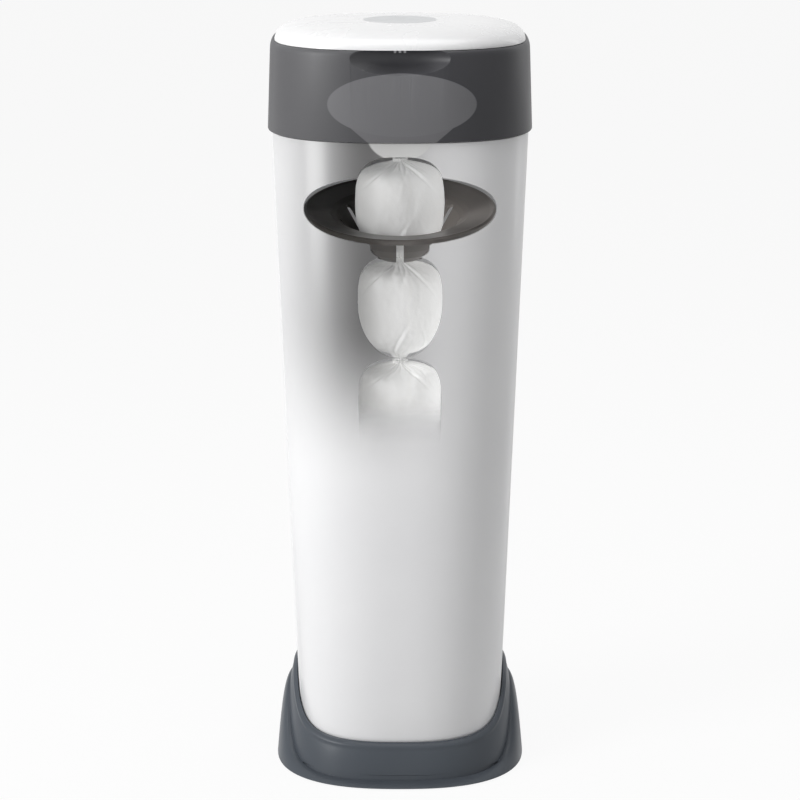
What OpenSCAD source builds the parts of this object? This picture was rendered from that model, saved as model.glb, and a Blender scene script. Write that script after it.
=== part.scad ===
// Nappy bin: a tapered white body with a front door that tilts open at the foot, a dark head
// collar, a hinged lid, a twist ring that turns a film cassette, and a sprung grip ring that
// holds the wrapped nappies in a chain. Millimetres, +Z up, front towards -Y.

/* [Body] */
// Half width of the body at the height where the taper is measured
body_half_low = 91.2; // [90.4:0.2:92.4]
// Half width of the body under the collar
body_half_top = 109.6; // [108.6:0.2:110.4]
// Height at which the lower half width is measured
taper_from = 75; // [70:1:80]
// Depth of the body as a share of its width
depth_share = 0.88; // [0.87:0.005:0.89]
// Squareness of the body section, where 2 is an ellipse
body_square = 2.6; // [2.5:0.05:2.7]
// Wall thickness of the door and the rear shell
wall = 2.5; // [2.2:0.1:2.8]
// Seam plane between the door and the rear shell, measured from the middle
seam_y = -28; // [-30:0.5:-26]
// Gap along the door's side seams and its top edge
door_gap = 0.7; // [0.6:0.1:1]
// Width of the tongue behind each side seam
tongue_wide = 12; // [10:1:14]
// Thickness of the tongue behind each side seam
tongue_thick = 2; // [1.6:0.2:2.4]
// Side clearance between the tongue and the door's inner face
tongue_fit = 0.5; // [0.4:0.1:0.8]
// How far the rear shell reaches up inside the collar
shell_up = 23.6; // [20.6:0.5:25.6]

/* [Base] */
// How far the base stands out beyond the top of the body at the sides, at the floor
base_out_x = 0.9; // [0:0.1:2]
// How far the base stands out beyond the top of the body at front and back, at the floor
base_out_y = 6.45; // [5.45:0.1:7.55]
// Squareness of the base outline
base_square = 2.5; // [2.4:0.05:2.6]
// Underside of the base skirt above the floor
base_under = 1.4; // [1:0.1:1.8]
// Height of the base rim at the front
rim_front = 33.9; // [32.9:0.5:34.9]
// Rise of the base rim from front to back
rim_rise = 52; // [50:1:54]
// Position of the middle of the rim's rise, measured from the middle
rim_mid_y = -25; // [-26:0.5:-24]
// Length over which the rim rises
rim_soft = 15; // [14:0.5:16]
// Clearance between the body and the inside of the base rim
base_fit = 0.6; // [0.5:0.05:0.8]
// Thickness of the base rim at its top edge
rim_land = 1.4; // [1.2:0.1:1.8]
// Height of the crease between base wall and skirt at the front
crease_front = 3.5; // [3:0.1:4]
// Rise of the crease from front to back
crease_rise = 62; // [60:0.5:64]
// Position of the middle of the crease's rise, measured from the middle
crease_mid_y = -20; // [-21:0.5:-19]
// Length over which the crease rises
crease_soft = 13; // [12:0.5:14]
// How far the base wall stands out from the body at the crease, at the sides
wing_side = 9; // [8.5:0.1:9.5]
// How far the base wall stands out from the body at the crease, at the front
wing_front = 12.6; // [12:0.1:13]
// Skin thickness of the base
base_skin = 2.4; // [2.2:0.1:2.8]
// Top face of the bin floor
floor_top = 8.5; // [8:0.1:9]
// Thickness of the bin floor
floor_thick = 2.5; // [2.2:0.1:2.8]
// Radius of each rubber foot pad
foot_radius = 10.5; // [10:0.1:11]
// Distance of each foot pad from the middle, along each axis
foot_offset = 70; // [69:0.5:70.5]

/* [Door] */
// How far the door may tilt forwards, in degrees
door_open = 50; // [40:1:50]
// Height of the door's hinge axis
door_axis_z = 50; // [49.5:0.5:51]
// How far the door's hinge axis lies behind the front of the body, at the foot of the taper
door_axis_in = 26.3; // [25.3:0.5:26.8]
// Depth to which the door's lower edge sits inside the base rim
door_nest = 4; // [3:0.5:4.5]
// Centre of each hinge ear, measured from the middle
ear_x = 48.5; // [47:0.5:50]
// Thickness of each hinge ear
ear_thick = 5; // [4:0.5:6]
// Side clearance between an ear and its lugs
ear_gap = 0.5; // [0.4:0.1:0.8]
// Thickness of each hinge lug
lug_thick = 5; // [4:0.5:6]
// Radius of the door hinge pins
door_pin_radius = 3; // [2.8:0.1:3.2]
// Running clearance of a pin in its ear, on the radius
pin_fit = 0.06; // [0.03:0.01:0.1]

/* [Collar] */
// Underside of the collar
collar_bottom = 566.4; // [566:0.1:567]
// How far the collar stands out beyond the top of the body
collar_over = 3; // [2.8:0.1:3.4]
// How far the collar draws in from its underside to its shoulder
collar_draw = 2.4; // [2.2:0.1:2.6]
// Height of the collar at the front, up to the joint line under the lid
collar_tall = 74.4; // [74:0.1:74.8]
// How far the shoulder begins below the joint line
shoulder_drop = 8.8; // [7.8:0.5:9.8]
// Squareness of the collar and lid sections
collar_square = 2.5; // [2.45:0.05:2.55]
// Rise of the joint line from front to back
lid_line_rise = 5.2; // [4.8:0.1:5.6]
// Wall thickness of the collar
collar_wall = 2.6; // [2.4:0.1:2.8]
// Half the height of the finger scoop's ellipse
scoop_half_tall = 13.9; // [13.4:0.1:14.4]
// How far the middle of the finger scoop lies below the joint line
scoop_drop = 5.7; // [5.4:0.1:6]
// Depth of the finger scoop
scoop_deep = 14.4; // [13.8:0.2:14.8]
// Radius of the finger scoop in plan
scoop_radius = 84; // [80:1:88]
// How far the well that holds the cassette lies inside the collar's front
well_inset = 20.5; // [20.2:0.1:20.7]
// Wall thickness of the well
well_wall = 2.2; // [2:0.1:2.4]
// How far the deck lies below the joint line at the front
deck_drop = 14.8; // [14.6:0.1:15.3]
// Thickness of the deck plate
deck_thick = 2.6; // [2.4:0.1:2.8]
// Depth of the well, from the deck to the underside of its flange
well_deep = 69; // [68.6:0.1:69.5]

/* [Lid] */
// Height of the lid's crown above the joint line at the front
lid_crown = 16.2; // [15.7:0.1:17.2]
// How far the lid's edge lies inside the collar's shoulder
lid_inset = 4; // [3.9:0.1:4.2]
// Thickness of the lid shell
lid_thick = 2.4; // [2.2:0.1:2.6]
// Gap between the lid and the collar's top edge
lid_gap = 0.5; // [0.4:0.1:0.6]
// How far the lid's hinge axis lies inside the lid's back edge
lid_axis_in = 7; // [6.8:0.1:7.2]
// Height of the lid's hinge axis above the joint line at the front
lid_axis_up = 4.2; // [4:0.1:4.4]
// Radius of the lid's hinge barrel
barrel_radius = 3.8; // [3.6:0.1:3.8]
// Radius of the lid's hinge pin
lid_pin_radius = 1.5; // [1.4:0.1:1.6]
// Radius of the round inlay on the lid
inlay_radius = 31; // [28:1:33]
// Thickness of the inlay
inlay_thick = 0.9; // [0.7:0.1:1.1]

/* [Cassette and film] */
// Running clearance of the cassette and twist ring in the well, on the radius
well_fit = 0.7; // [0.6:0.1:0.9]
// Width of the cassette from its core to its outer wall
cassette_wide = 13.8; // [13.6:0.1:14]
// Wall thickness of the cassette
cassette_wall = 1.6; // [1.4:0.1:1.8]
// Height of the cassette
cassette_tall = 40; // [39:1:41]
// How far the cassette's core, over which the film folds, ends below its outer wall
core_drop = 12.6; // [12.4:0.1:12.8]
// How far the twist ring's finger lobes stand above the deck
twist_up = 5; // [4:0.5:5]
// Number of finger lobes on the twist ring
lobes = 8; // [6:1:10]
// Thickness of the folded film funnel
film_thick = 0.8; // [0.7:0.1:1]
// Number of pleats in the packed film
pleats = 10; // [8:1:12]

/* [Grip ring] */
// How far the grip ring's rim stays clear of the front wall
grip_margin = 8.9; // [8.5:0.1:9.9]
// Width of the grip ring's dish, from its rim to its mouth
dish_wide = 30.7; // [29.7:0.5:31.2]
// How far the middle of the grip ring lies below the first twist of the film
grip_drop = 44.5; // [43:0.5:46]
// Forward tilt of the grip ring's dish, in degrees
grip_tilt = 10; // [8:1:11]
// Number of sprung fingers
fingers = 9; // [8:1:10]
// Width of the slot between two fingers
finger_slot = 6.4; // [5.6:0.2:6.8]
// Thickness of the fingers
finger_thick = 2; // [1.8:0.1:2.2]

/* [Latch] */
// How far the latch button lies below the collar
latch_drop = 21.4; // [19.4:0.5:23.4]
// Radius of the latch button
button_radius = 8; // [7:0.5:9]
// Clearance of the button in its hole, on the radius
button_fit = 0.35; // [0.3:0.05:0.5]

/* [Hidden] */
facets = 72;
smooth = 96;
near = 0.01;
seat = 0.05;
rest_gap = 0.1;
soft_side = 15;
skirt_from_y = -50;
shoulder_mid_y = 20;
body_slope = (body_half_top - body_half_low) / (collar_bottom - taper_from);
base_half_x = body_half_top + base_out_x;
base_half_y = depth_share * body_half_top + base_out_y;
door_top = collar_bottom - door_gap;
door_axis_y = door_axis_in - depth_share * body_half_low;
shell_top = collar_bottom + shell_up;
collar_half_low = body_half_top + collar_over;
collar_half_top = collar_half_low - collar_draw;
collar_low_b = collar_half_low * depth_share;
collar_top_b = collar_half_top * depth_share;
lid_line_front = collar_bottom + collar_tall;
shoulder_z = lid_line_front - shoulder_drop;
deck_top = lid_line_front - deck_drop;
lid_half_x = collar_half_top - lid_inset;
lid_half_y = collar_top_b - lid_inset;
lid_top = lid_line_front + lid_crown;
lid_axis_y = lid_half_y - lid_axis_in;
lid_axis_z = lid_line_front + lid_axis_up;
well_radius = collar_top_b - well_inset;
well_bottom = deck_top - well_deep;
cassette_out = well_radius - well_fit;
core_radius = cassette_out - cassette_wide;
cassette_z = well_bottom + floor_thick + door_gap;
cassette_top = cassette_z + cassette_tall;
core_top = cassette_top - core_drop;
twist_top = deck_top + twist_up;
neck_one = core_top - 48.3;
grip_z = neck_one - grip_drop;
grip_radius = depth_share * half(grip_z) - wall - grip_margin;
grip_mouth = grip_radius - dish_wide;
latch_z = collar_bottom - latch_drop;
screw_radius = 1.75;
screw_hole = screw_radius + seat;
head_radius = 3.6;
head_tall = 2;
far = base_half_x + 60;
far_up = lid_top + 80;

// Half width of the body at a height
function half(z) = body_half_low + (z - taper_from) * body_slope;

// Point of a rounded-square outline at a polar angle
function outline(f, a, b, n) =
  let(r = 1 / pow(pow(abs(cos(f)) / a, n) + pow(abs(sin(f)) / b, n), 1 / n))
  [r * cos(f), r * sin(f)];

// Point of the body surface, moved outwards by a distance
function body_point(f, z, out) =
  let(h = half(z), p = outline(f, h + out, depth_share * h + out, body_square))
  [p[0], p[1], z];

// Level ring around the body
function body_ring(z, out) = [for (i = [0:facets - 1]) body_point(360 * i / facets, z, out)];

// Level ring of the collar and lid outline
function collar_ring(z, a, b) =
  [for (i = [0:facets - 1]) let(p = outline(360 * i / facets, a, b, collar_square)) [p[0], p[1], z]];

// Soft step from 0 to 1 across a position
function rise(y, middle, soft) = 1 / (1 + exp(-(y - middle) / soft));

// Position front to back of the body surface at a polar angle
function body_y(f) = outline(f, body_half_low, depth_share * body_half_low, body_square)[1];

// Height of the base rim at a polar angle
function rim_z(f) = rim_front + rim_rise * rise(body_y(f), rim_mid_y, rim_soft);

// Height of the crease between base wall and skirt
function crease_z(f) = crease_front + crease_rise * rise(body_y(f), crease_mid_y, crease_soft);

// Share by which a polar angle belongs to the front of the base
function frontness(f) = 1 - rise(body_y(f), skirt_from_y, soft_side);

// Standing out of the base wall at the crease
function wing(f) = wing_side + (wing_front - wing_side) * frontness(f);

// Height of the joint line under the lid at a polar angle
function lid_line(f) =
  let(y = outline(f, lid_half_x, lid_half_y, collar_square)[1])
  lid_line_front + lid_line_rise * rise(y, shoulder_mid_y, soft_side);

// Solid through a stack of rings, closed at both ends
module loft_solid(rings) {
  n = len(rings[0]);
  last = len(rings) - 1;
  points = [for (r = rings) each r];
  sides = [for (k = [0:last - 1], i = [0:n - 1]) each loft_pair(k * n, (k + 1) * n, i, n)];
  lower = [for (i = [0:n - 1]) i];
  upper = [for (i = [0:n - 1]) last * n + n - 1 - i];
  polyhedron(points = points, faces = concat(sides, [lower], [upper]), convexity = 8);
}

// Tube through a closed loop of rings, outer face going up and inner face going down
module loft_tube(rings) {
  n = len(rings[0]);
  count = len(rings);
  points = [for (r = rings) each r];
  sides = [for (k = [0:count - 1], i = [0:n - 1]) each loft_pair(k * n, ((k + 1) % count) * n, i, n)];
  polyhedron(points = points, faces = sides, convexity = 8);
}

// Two triangles between neighbouring points of two rings
function loft_pair(low, high, i, n) =
  let(j = (i + 1) % n)
  [[low + i, high + i, high + j], [low + i, high + j, low + j]];

// Body-shaped solid between two heights
module body_solid(z0, z1, out) {
  loft_solid([body_ring(z0, out), body_ring(z1, out)]);
}

// Body-shaped wall between two heights and two outward distances
module body_wall(z0, z1, out, inside) {
  loft_tube([body_ring(z0, out), body_ring(z1, out), body_ring(z1, inside), body_ring(z0, inside)]);
}

// Everything in front of a plane
module front_of(y) {
  translate([-far, y - far, -20])
    cube([2 * far, far, far_up]);
}

// Everything behind a plane
module behind(y) {
  translate([-far, y, -20])
    cube([2 * far, 2 * far, far_up]);
}

// Bar along X with a round section
module bar_x(x0, x1, radius) {
  translate([x0, 0, 0])
    rotate([0, 90, 0])
      cylinder(r = radius, h = x1 - x0, $fn = 48);
}

// Plate across X cut from an outline drawn in depth and height
module plate_x(x0, thick, points) {
  translate([x0, 0, 0])
    rotate([90, 0, 90])
      linear_extrude(height = thick)
        polygon(points);
}

// Pan-head screw pointing up, its seat at the origin
module screw_up(long) {
  cylinder(r = screw_radius, h = long, $fn = 32);
  translate([0, 0, -head_tall])
    cylinder(r = head_radius, h = head_tall, $fn = 32);
}

// Both sides of the bin, mirrored across the middle
module both_sides() {
  children();
  mirror([1, 0, 0])
    children();
}

// ---------------------------------------------------------------- base

wall_steps = [0.03, 0.07, 0.12, 0.2, 0.32, 0.5, 0.75, 1];
skirt_steps = [0.03, 0.12, 0.28, 0.5, 0.75, 1];
wall_bulge = 0.6;
rim_lip = 0.8;
rim_lip_drop = 2.8;
rim_lip_soft = 1.9;
skirt_bulge = 0.38;

function wall_ring(u, out_low, skin) =
  [for (i = [0:facets - 1])
    let(
      f = 360 * i / facets,
      z = rim_z(f) + (crease_z(f) - rim_z(f)) * u,
      lip = rim_lip * exp(-pow((rim_z(f) - z - rim_lip_drop) / rim_lip_soft, 2)),
      out = base_fit + rim_land + (wing(f) - base_fit - rim_land) * pow(u, wall_bulge) + lip
    )
    body_point(f, z, max(out_low, out - skin))];

function skirt_ring(v, inset, drop, z_end) =
  [for (i = [0:facets - 1])
    let(
      f = 360 * i / facets,
      z0 = crease_z(f) - drop,
      c = body_point(f, crease_z(f), wing(f) - inset),
      deep = inset + (inset > 0 ? 11 * frontness(f) : 0),
      b = outline(f, base_half_x - deep, base_half_y - deep, base_square),
      h = pow(v, skirt_bulge)
    )
    [c[0] + (b[0] - c[0]) * h, c[1] + (b[1] - c[1]) * h, z0 + (z_end - z0) * v]];

function rim_ring(up, out) =
  [for (i = [0:facets - 1]) let(f = 360 * i / facets) body_point(f, rim_z(f) + up, out)];

module base_outside() {
  loft_solid(concat(
    [for (k = [len(skirt_steps) - 1:-1:0]) skirt_ring(skirt_steps[k], 0, 0, base_under)],
    [for (k = [len(wall_steps) - 1:-1:0]) wall_ring(wall_steps[k], 0, 0)],
    [rim_ring(0, base_fit + rim_land * 0.5)]
  ));
}

module base_inside() {
  loft_solid(concat(
    [for (k = [len(skirt_steps) - 1:-1:0]) skirt_ring(skirt_steps[k], base_skin, 2, -2)],
    [for (k = [len(wall_steps) - 1:-1:1]) wall_ring(wall_steps[k], base_fit, base_skin)],
    [rim_ring(-door_nest - 1, base_fit)],
    [rim_ring(12, base_fit)]
  ));
}

module door_lug(x0) {
  plate_x(x0, lug_thick, [
    [door_axis_y + 9, floor_top - 1],
    [door_axis_y + 32, floor_top - 1],
    [door_axis_y + 20, door_axis_z - 6],
    [door_axis_y + 4, door_axis_z + 6],
    [door_axis_y, door_axis_z + 7],
    [door_axis_y - 5, door_axis_z + 5],
    [door_axis_y - 7, door_axis_z],
    [door_axis_y - 5, door_axis_z - 5],
    [door_axis_y, door_axis_z - 7],
    [door_axis_y + 7, door_axis_z - 12]
  ]);
}

lug_in_x = ear_x - ear_thick / 2 - ear_gap - lug_thick;
lug_out_x = ear_x + ear_thick / 2 + ear_gap;
post_radius = 5.5;
base_posts = [[62, 45], [79, -8]];
base_screw_long = 16;
stop_gap = 0.4;
tail_half = 4;
tail_long = 18;

module base() {
  color([0.27, 0.29, 0.32])
    difference() {
      union() {
        difference() {
          base_outside();
          difference() {
            base_inside();
            translate([-far, -far, floor_top - floor_thick])
              cube([2 * far, 2 * far, floor_thick]);
          }
        }
        intersection() {
          base_outside();
          for (sx = [-1, 1], sy = [-1, 1])
            translate([sx * foot_offset, sy * foot_offset, 0])
              cylinder(r = foot_radius + 2, h = floor_top - 1, $fn = 48);
        }
        both_sides() {
          door_lug(lug_in_x);
          door_lug(lug_out_x);
          // Door stop, struck by the tail of the ear when the door is fully open
          translate([0, door_axis_y, door_axis_z])
            rotate([door_open, 0, 0])
              translate([lug_in_x, tail_half + stop_gap, -tail_long + 2])
                cube([lug_out_x - lug_in_x + lug_thick, 5, 9]);
        }
      }
      // Recesses for the foot pads
      for (sx = [-1, 1], sy = [-1, 1])
        translate([sx * foot_offset, sy * foot_offset, -1])
          cylinder(r = foot_radius + seat, h = base_under + 2.6, $fn = 48);
      // Screw holes in the floor
      both_sides()
        for (p = base_posts)
          translate([p[0], p[1], 0])
            cylinder(r = screw_hole, h = base_screw_long + 4, $fn = 32);
      // Bores for the door hinge pins
      both_sides()
        translate([0, door_axis_y, door_axis_z])
          bar_x(lug_in_x - 1, lug_out_x + lug_thick + 1, door_pin_radius);
    }
}

module foot_pads() {
  color([0.12, 0.12, 0.13])
    for (sx = [-1, 1], sy = [-1, 1])
      translate([sx * foot_offset, sy * foot_offset, 0])
        cylinder(r = foot_radius, h = base_under + 1.6, $fn = 48);
}

module base_screws() {
  color([0.72, 0.72, 0.74])
    both_sides()
      for (p = base_posts)
        translate([p[0], p[1], floor_top - floor_thick])
          screw_up(base_screw_long);
}

module door_hinge_pins() {
  color([0.72, 0.72, 0.74])
    both_sides()
      translate([0, door_axis_y, door_axis_z])
        bar_x(lug_in_x + 0.5, lug_out_x + lug_thick - 0.5, door_pin_radius);
}

// ---------------------------------------------------------------- rear shell

deck_screw_turn = 44.1;
deck_screw_in = 14.5;
deck_screw_at =
  outline(deck_screw_turn, collar_half_top - deck_screw_in, collar_top_b - deck_screw_in, collar_square);
button_x = half(latch_z) - 0.6;
bracket_screw_x = 18;
bracket_z = grip_z + (grip_radius - 6) * sin(grip_tilt);
bracket_screw_z = bracket_z - 12;
shell_in_y = depth_share * half(bracket_screw_z) - wall;

// Upright post with a web that ties it to the wall
module wall_post(x, y, z0, z1) {
  translate([x, y, z0])
    cylinder(r = post_radius, h = z1 - z0, $fn = 40);
  translate([x, y, z0])
    rotate([0, 0, atan2(y, x)])
      translate([0, -1.5, 0])
        cube([30, 3, z1 - z0]);
}

module rear_shell() {
  color([0.93, 0.93, 0.93])
    difference() {
      union() {
        intersection() {
          loft_tube([
            body_ring(floor_top, 0),
            body_ring(collar_bottom, 0),
            body_ring(collar_bottom, -near),
            collar_fit_ring(shell_top, -near),
            collar_fit_ring(shell_top, -wall),
            body_ring(collar_bottom, -wall),
            body_ring(floor_top, -wall)
          ]);
          behind(seam_y + door_gap / 2);
        }
        // Tongues behind the side seams
        intersection() {
          body_wall(rim_z(-20) + 8, latch_z - 16, -wall - tongue_fit, -wall - tongue_fit - tongue_thick);
          translate([-far, seam_y - tongue_wide / 2, 0])
            cube([2 * far, tongue_wide, far_up]);
        }
        intersection() {
          body_wall(rim_z(-20) + 8, latch_z - 16, -wall + 0.5, -wall - tongue_fit - tongue_thick);
          translate([-far, seam_y + door_gap / 2, 0])
            cube([2 * far, tongue_wide / 2 - door_gap / 2, far_up]);
        }
        // Screw posts at the foot and under the deck
        intersection() {
          both_sides() {
            for (p = base_posts)
              wall_post(p[0], p[1], floor_top, floor_top + 26);
            wall_post(deck_screw_at[0], deck_screw_at[1], shell_top - 50, shell_top);
          }
          body_solid(floor_top, shell_top, -1);
        }
      }
      both_sides() {
        for (p = base_posts)
          translate([p[0], p[1], floor_top - 1])
            cylinder(r = screw_hole, h = base_screw_long + 4, $fn = 32);
        translate([deck_screw_at[0], deck_screw_at[1], shell_top - 20])
          cylinder(r = screw_hole, h = 30, $fn = 32);
        translate([bracket_screw_x, shell_in_y, bracket_screw_z])
          rotate([90, 0, 0])
            cylinder(r = screw_hole, h = 3.4, center = true, $fn = 32);
      }
      translate([0, 0, latch_z])
        bar_x(button_x - 25, far, button_radius + button_fit);
    }
}

function collar_fit_ring(z, out) = [for (p = body_ring(collar_bottom, out)) [p[0], p[1], z]];

// ---------------------------------------------------------------- grip ring

finger_line = [
  [grip_mouth + 8, -2.5], [grip_mouth + 3, -4.6], [grip_mouth - 1, -8], [grip_mouth - 5, -14],
  [grip_mouth - 11, -23], [grip_mouth - 18, -31], [grip_mouth - 25, -36.5], [grip_mouth - 31.5, -40]
];
tip_corner = finger_line[len(finger_line) - 1];

module grip_ring() {
  color([0.17, 0.16, 0.15])
    translate([0, 0, grip_z])
      rotate([grip_tilt, 0, 0])
        difference() {
          // Dish with a rolled outer rim, drawn down into a basket of fingers
          rotate_extrude($fn = smooth)
            polygon(concat(
              [
                [grip_radius, -2.6],
                [grip_radius, 0.6],
                [grip_radius - 2, 1.6],
                [grip_radius - 5, 0.6]
              ],
              finger_line,
              [for (k = [len(finger_line) - 1:-1:1])
                [finger_line[k][0] + finger_thick * 0.55, finger_line[k][1] - finger_thick * 0.8]],
              [
                [grip_mouth + 9, -2.5 - finger_thick],
                [grip_radius - 5, -1.6],
                [grip_radius - 2, -3.4]
              ]
            ));
          // Slots between the fingers, round at the top and open at the tips
          for (k = [0:fingers - 1])
            rotate([0, 0, k * 360 / fingers - 90]) {
              translate([tip_corner[0] - 8, -finger_slot / 2, tip_corner[1] - 20])
                cube([grip_mouth - tip_corner[0] + 6, finger_slot, 18 - tip_corner[1]]);
              translate([grip_mouth - 2, 0, tip_corner[1] - 20])
                cylinder(r = finger_slot / 2, h = 18 - tip_corner[1], $fn = 32);
            }
        }
}

bracket_half = 27.2;
bracket_screw_long = 4.6;

module grip_bracket() {
  color([0.17, 0.16, 0.15])
    difference() {
      intersection() {
        union() {
          // Shelf under the back of the dish
          translate([0, 0, grip_z])
            rotate([grip_tilt, 0, 0])
              translate([0.5 - bracket_half, grip_radius - 14, -6.5])
                cube([2 * bracket_half - 1, 40, 3]);
          // Plate against the rear shell
          translate([-bracket_half, shell_in_y - 3, bracket_z - 18])
            cube([2 * bracket_half, 20, 26]);
          // Two ribs under the shelf
          for (x = [1 - bracket_half, bracket_half - 4])
            plate_x(x, 3, [
              [grip_radius - 10, bracket_z - 5.5],
              [shell_in_y - 1, bracket_z - 5.5],
              [shell_in_y - 1, bracket_z - 18]
            ]);
        }
        body_solid(grip_z - 80, grip_z + 60, -wall - rest_gap);
      }
      for (x = [-bracket_screw_x, bracket_screw_x])
        translate([x, shell_in_y, bracket_screw_z])
          rotate([90, 0, 0])
            cylinder(r = screw_hole, h = 20, center = true, $fn = 32);
      translate([0, 0, grip_z])
        rotate([grip_tilt, 0, 0])
          translate([0, 0, -3.4])
            cylinder(r = grip_radius + seat, h = 40, $fn = smooth);
    }
}

module bracket_screws() {
  color([0.72, 0.72, 0.74])
    for (x = [-bracket_screw_x, bracket_screw_x])
      translate([x, shell_in_y - 3, bracket_screw_z])
        rotate([-90, 0, 0])
          screw_up(bracket_screw_long);
}

// ---------------------------------------------------------------- head collar and deck

ledge_a = collar_half_top - 12.2;
ledge_b = collar_top_b - 12;
ledge_z = deck_top - deck_thick;
hinge_notch = 7.8;
notch_half = lid_half_x - 50;

function collar_top_ring(up, a, b) =
  [for (i = [0:facets - 1])
    let(f = 360 * i / facets, p = outline(f, a, b, collar_square))
    [p[0], p[1], lid_line(f) + up]];

scoop_wall = 2.2;
scoop_z = lid_line_front - scoop_drop;
scoop_y = scoop_deep - collar_top_b - scoop_radius;
scoop_cut = 1 - scoop_deep / scoop_radius;
scoop_share = scoop_half_tall / sqrt(1 - scoop_cut * scoop_cut) / scoop_radius;
scoop_turns = [for (k = [-12:12]) 90 * k / 12];

// Flattened ball that hollows the finger scoop, grown outwards by a distance
module scoop_bowl(out) {
  translate([0, scoop_y, scoop_z])
    rotate_extrude($fn = smooth)
      polygon([for (t = scoop_turns)
        [(scoop_radius + out) * cos(t), (scoop_radius * scoop_share + out) * sin(t)]]);
}

module head_collar() {
  color([0.25, 0.25, 0.27])
    difference() {
      union() {
        loft_tube([
          collar_ring(collar_bottom, collar_half_low - 0.7, collar_low_b - 0.7),
          collar_ring(collar_bottom + 1.4, collar_half_low, collar_low_b),
          collar_ring(shoulder_z, collar_half_top, collar_top_b),
          collar_top_ring(-3, collar_half_top - 0.9, collar_top_b - 0.8),
          collar_top_ring(-0.8, collar_half_top - 2.1, collar_top_b - 1.9),
          collar_top_ring(0, collar_half_top - 3.2, collar_top_b - 2.8),
          collar_top_ring(0, collar_half_top - 6.2, collar_top_b - 6),
          collar_ring(shoulder_z, collar_half_top - collar_wall, collar_top_b - collar_wall),
          collar_ring(ledge_z, collar_half_top - collar_wall, collar_top_b - collar_wall),
          collar_ring(ledge_z, ledge_a, ledge_b),
          collar_ring(ledge_z - 4, ledge_a, ledge_b),
          collar_ring(ledge_z - 6, collar_half_top - collar_wall, collar_top_b - collar_wall),
          collar_fit_ring(shell_top + 2, 0.1),
          collar_fit_ring(collar_bottom, 0.1)
        ]);
        intersection() {
          scoop_bowl(scoop_wall);
          loft_solid([
            collar_ring(ledge_z - 8, collar_half_top - 1, collar_top_b - 1),
            collar_ring(shoulder_z, collar_half_top - 1, collar_top_b - 1),
            collar_top_ring(0, collar_half_top - 4, collar_top_b - 4)
          ]);
        }
        both_sides()
          for (sy = [-1, 1])
            translate([deck_screw_at[0], sy * deck_screw_at[1], ledge_z - 24])
              cylinder(r = post_radius, h = 24, $fn = 40);
      }
      scoop_bowl(0);
      // Clearance for the back edge of the lid as it swings
      translate([0, lid_axis_y, lid_axis_z])
        bar_x(-notch_half - 2, notch_half + 2, hinge_notch);
      translate([-notch_half, lid_axis_y - 4, lid_axis_z - 1.5])
        cube([2 * notch_half, 20, 10]);
      both_sides()
        for (sy = [-1, 1])
          translate([deck_screw_at[0], sy * deck_screw_at[1], ledge_z - 30])
            cylinder(r = screw_hole, h = 40, $fn = 32);
    }
}

deck_screw_front = 20;
deck_screw_back = 48;
barrel_half = 20;
lug_side_gap = 0.5;
lid_lug_thick = 6;
lid_pin_half = barrel_half + lug_side_gap + lid_lug_thick + 0.5;

module head_deck() {
  color([0.86, 0.86, 0.87])
    difference() {
      union() {
        intersection() {
          loft_solid([
            collar_ring(ledge_z, collar_half_top - collar_wall - 0.1, collar_top_b - collar_wall - 0.1),
            collar_ring(deck_top, collar_half_top - collar_wall - 0.1, collar_top_b - collar_wall - 0.1)
          ]);
          translate([-far, -far, ledge_z])
            cube([2 * far, 2 * far, deck_thick]);
        }
        // Well for the cassette, with a raised bead round its mouth
        rotate_extrude($fn = smooth)
          polygon([
            [core_radius - 2.5, well_bottom],
            [well_radius + well_wall, well_bottom],
            [well_radius + well_wall, deck_top],
            [well_radius + well_wall + 1, deck_top + 2],
            [well_radius + well_wall, deck_top + 3],
            [well_radius, deck_top + 3],
            [well_radius, well_bottom + floor_thick],
            [core_radius - 2.5, well_bottom + floor_thick]
          ]);
        // Lugs for the lid hinge
        both_sides()
          difference() {
            union() {
              plate_x(barrel_half + lug_side_gap, lid_lug_thick, [
                [lid_axis_y - 5.5, deck_top - 1],
                [lid_axis_y - 0.4, deck_top - 1],
                [lid_axis_y - 0.4, lid_axis_z],
                [lid_axis_y - 3, lid_axis_z]
              ]);
              translate([0, lid_axis_y, lid_axis_z])
                bar_x(barrel_half + lug_side_gap, lid_pin_half - 0.5, barrel_radius);
            }
            translate([0, lid_axis_y, lid_axis_z])
              bar_x(barrel_half, lid_pin_half, lid_pin_radius);
          }
      }
      translate([0, 0, well_bottom + floor_thick])
        cylinder(r = well_radius, h = 90, $fn = smooth);
      scoop_bowl(scoop_wall + rest_gap);
      both_sides()
        for (sy = [-1, 1])
          translate([deck_screw_at[0], sy * deck_screw_at[1], ledge_z - 1])
            cylinder(r = screw_hole, h = 10, $fn = 32);
    }
}

module deck_screws() {
  color([0.72, 0.72, 0.74])
    both_sides() {
      translate([deck_screw_at[0], -deck_screw_at[1], deck_top])
        mirror([0, 0, 1])
          screw_up(deck_screw_front);
      translate([deck_screw_at[0], deck_screw_at[1], deck_top])
        mirror([0, 0, 1])
          screw_up(deck_screw_back);
    }
}

// ---------------------------------------------------------------- lid

liner_radius = well_radius + 2.9;
liner_sink = 1.4;
liner_z = lid_line_front - liner_sink;
liner_thick = 2.6;
liner_screw_long = 8;
liner_screw_at = [liner_radius * 0.554, liner_radius * 0.504];
dome_shares = [1, 0.985, 0.96, 0.92, 0.86, 0.76, 0.6, 0.4, 0.03];
dome_power = 5;

function dome_z(f, s, top) =
  let(low = lid_line(f) + lid_gap)
  low + (top - low) * pow(1 - pow(s, dome_power), 0.5);

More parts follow.
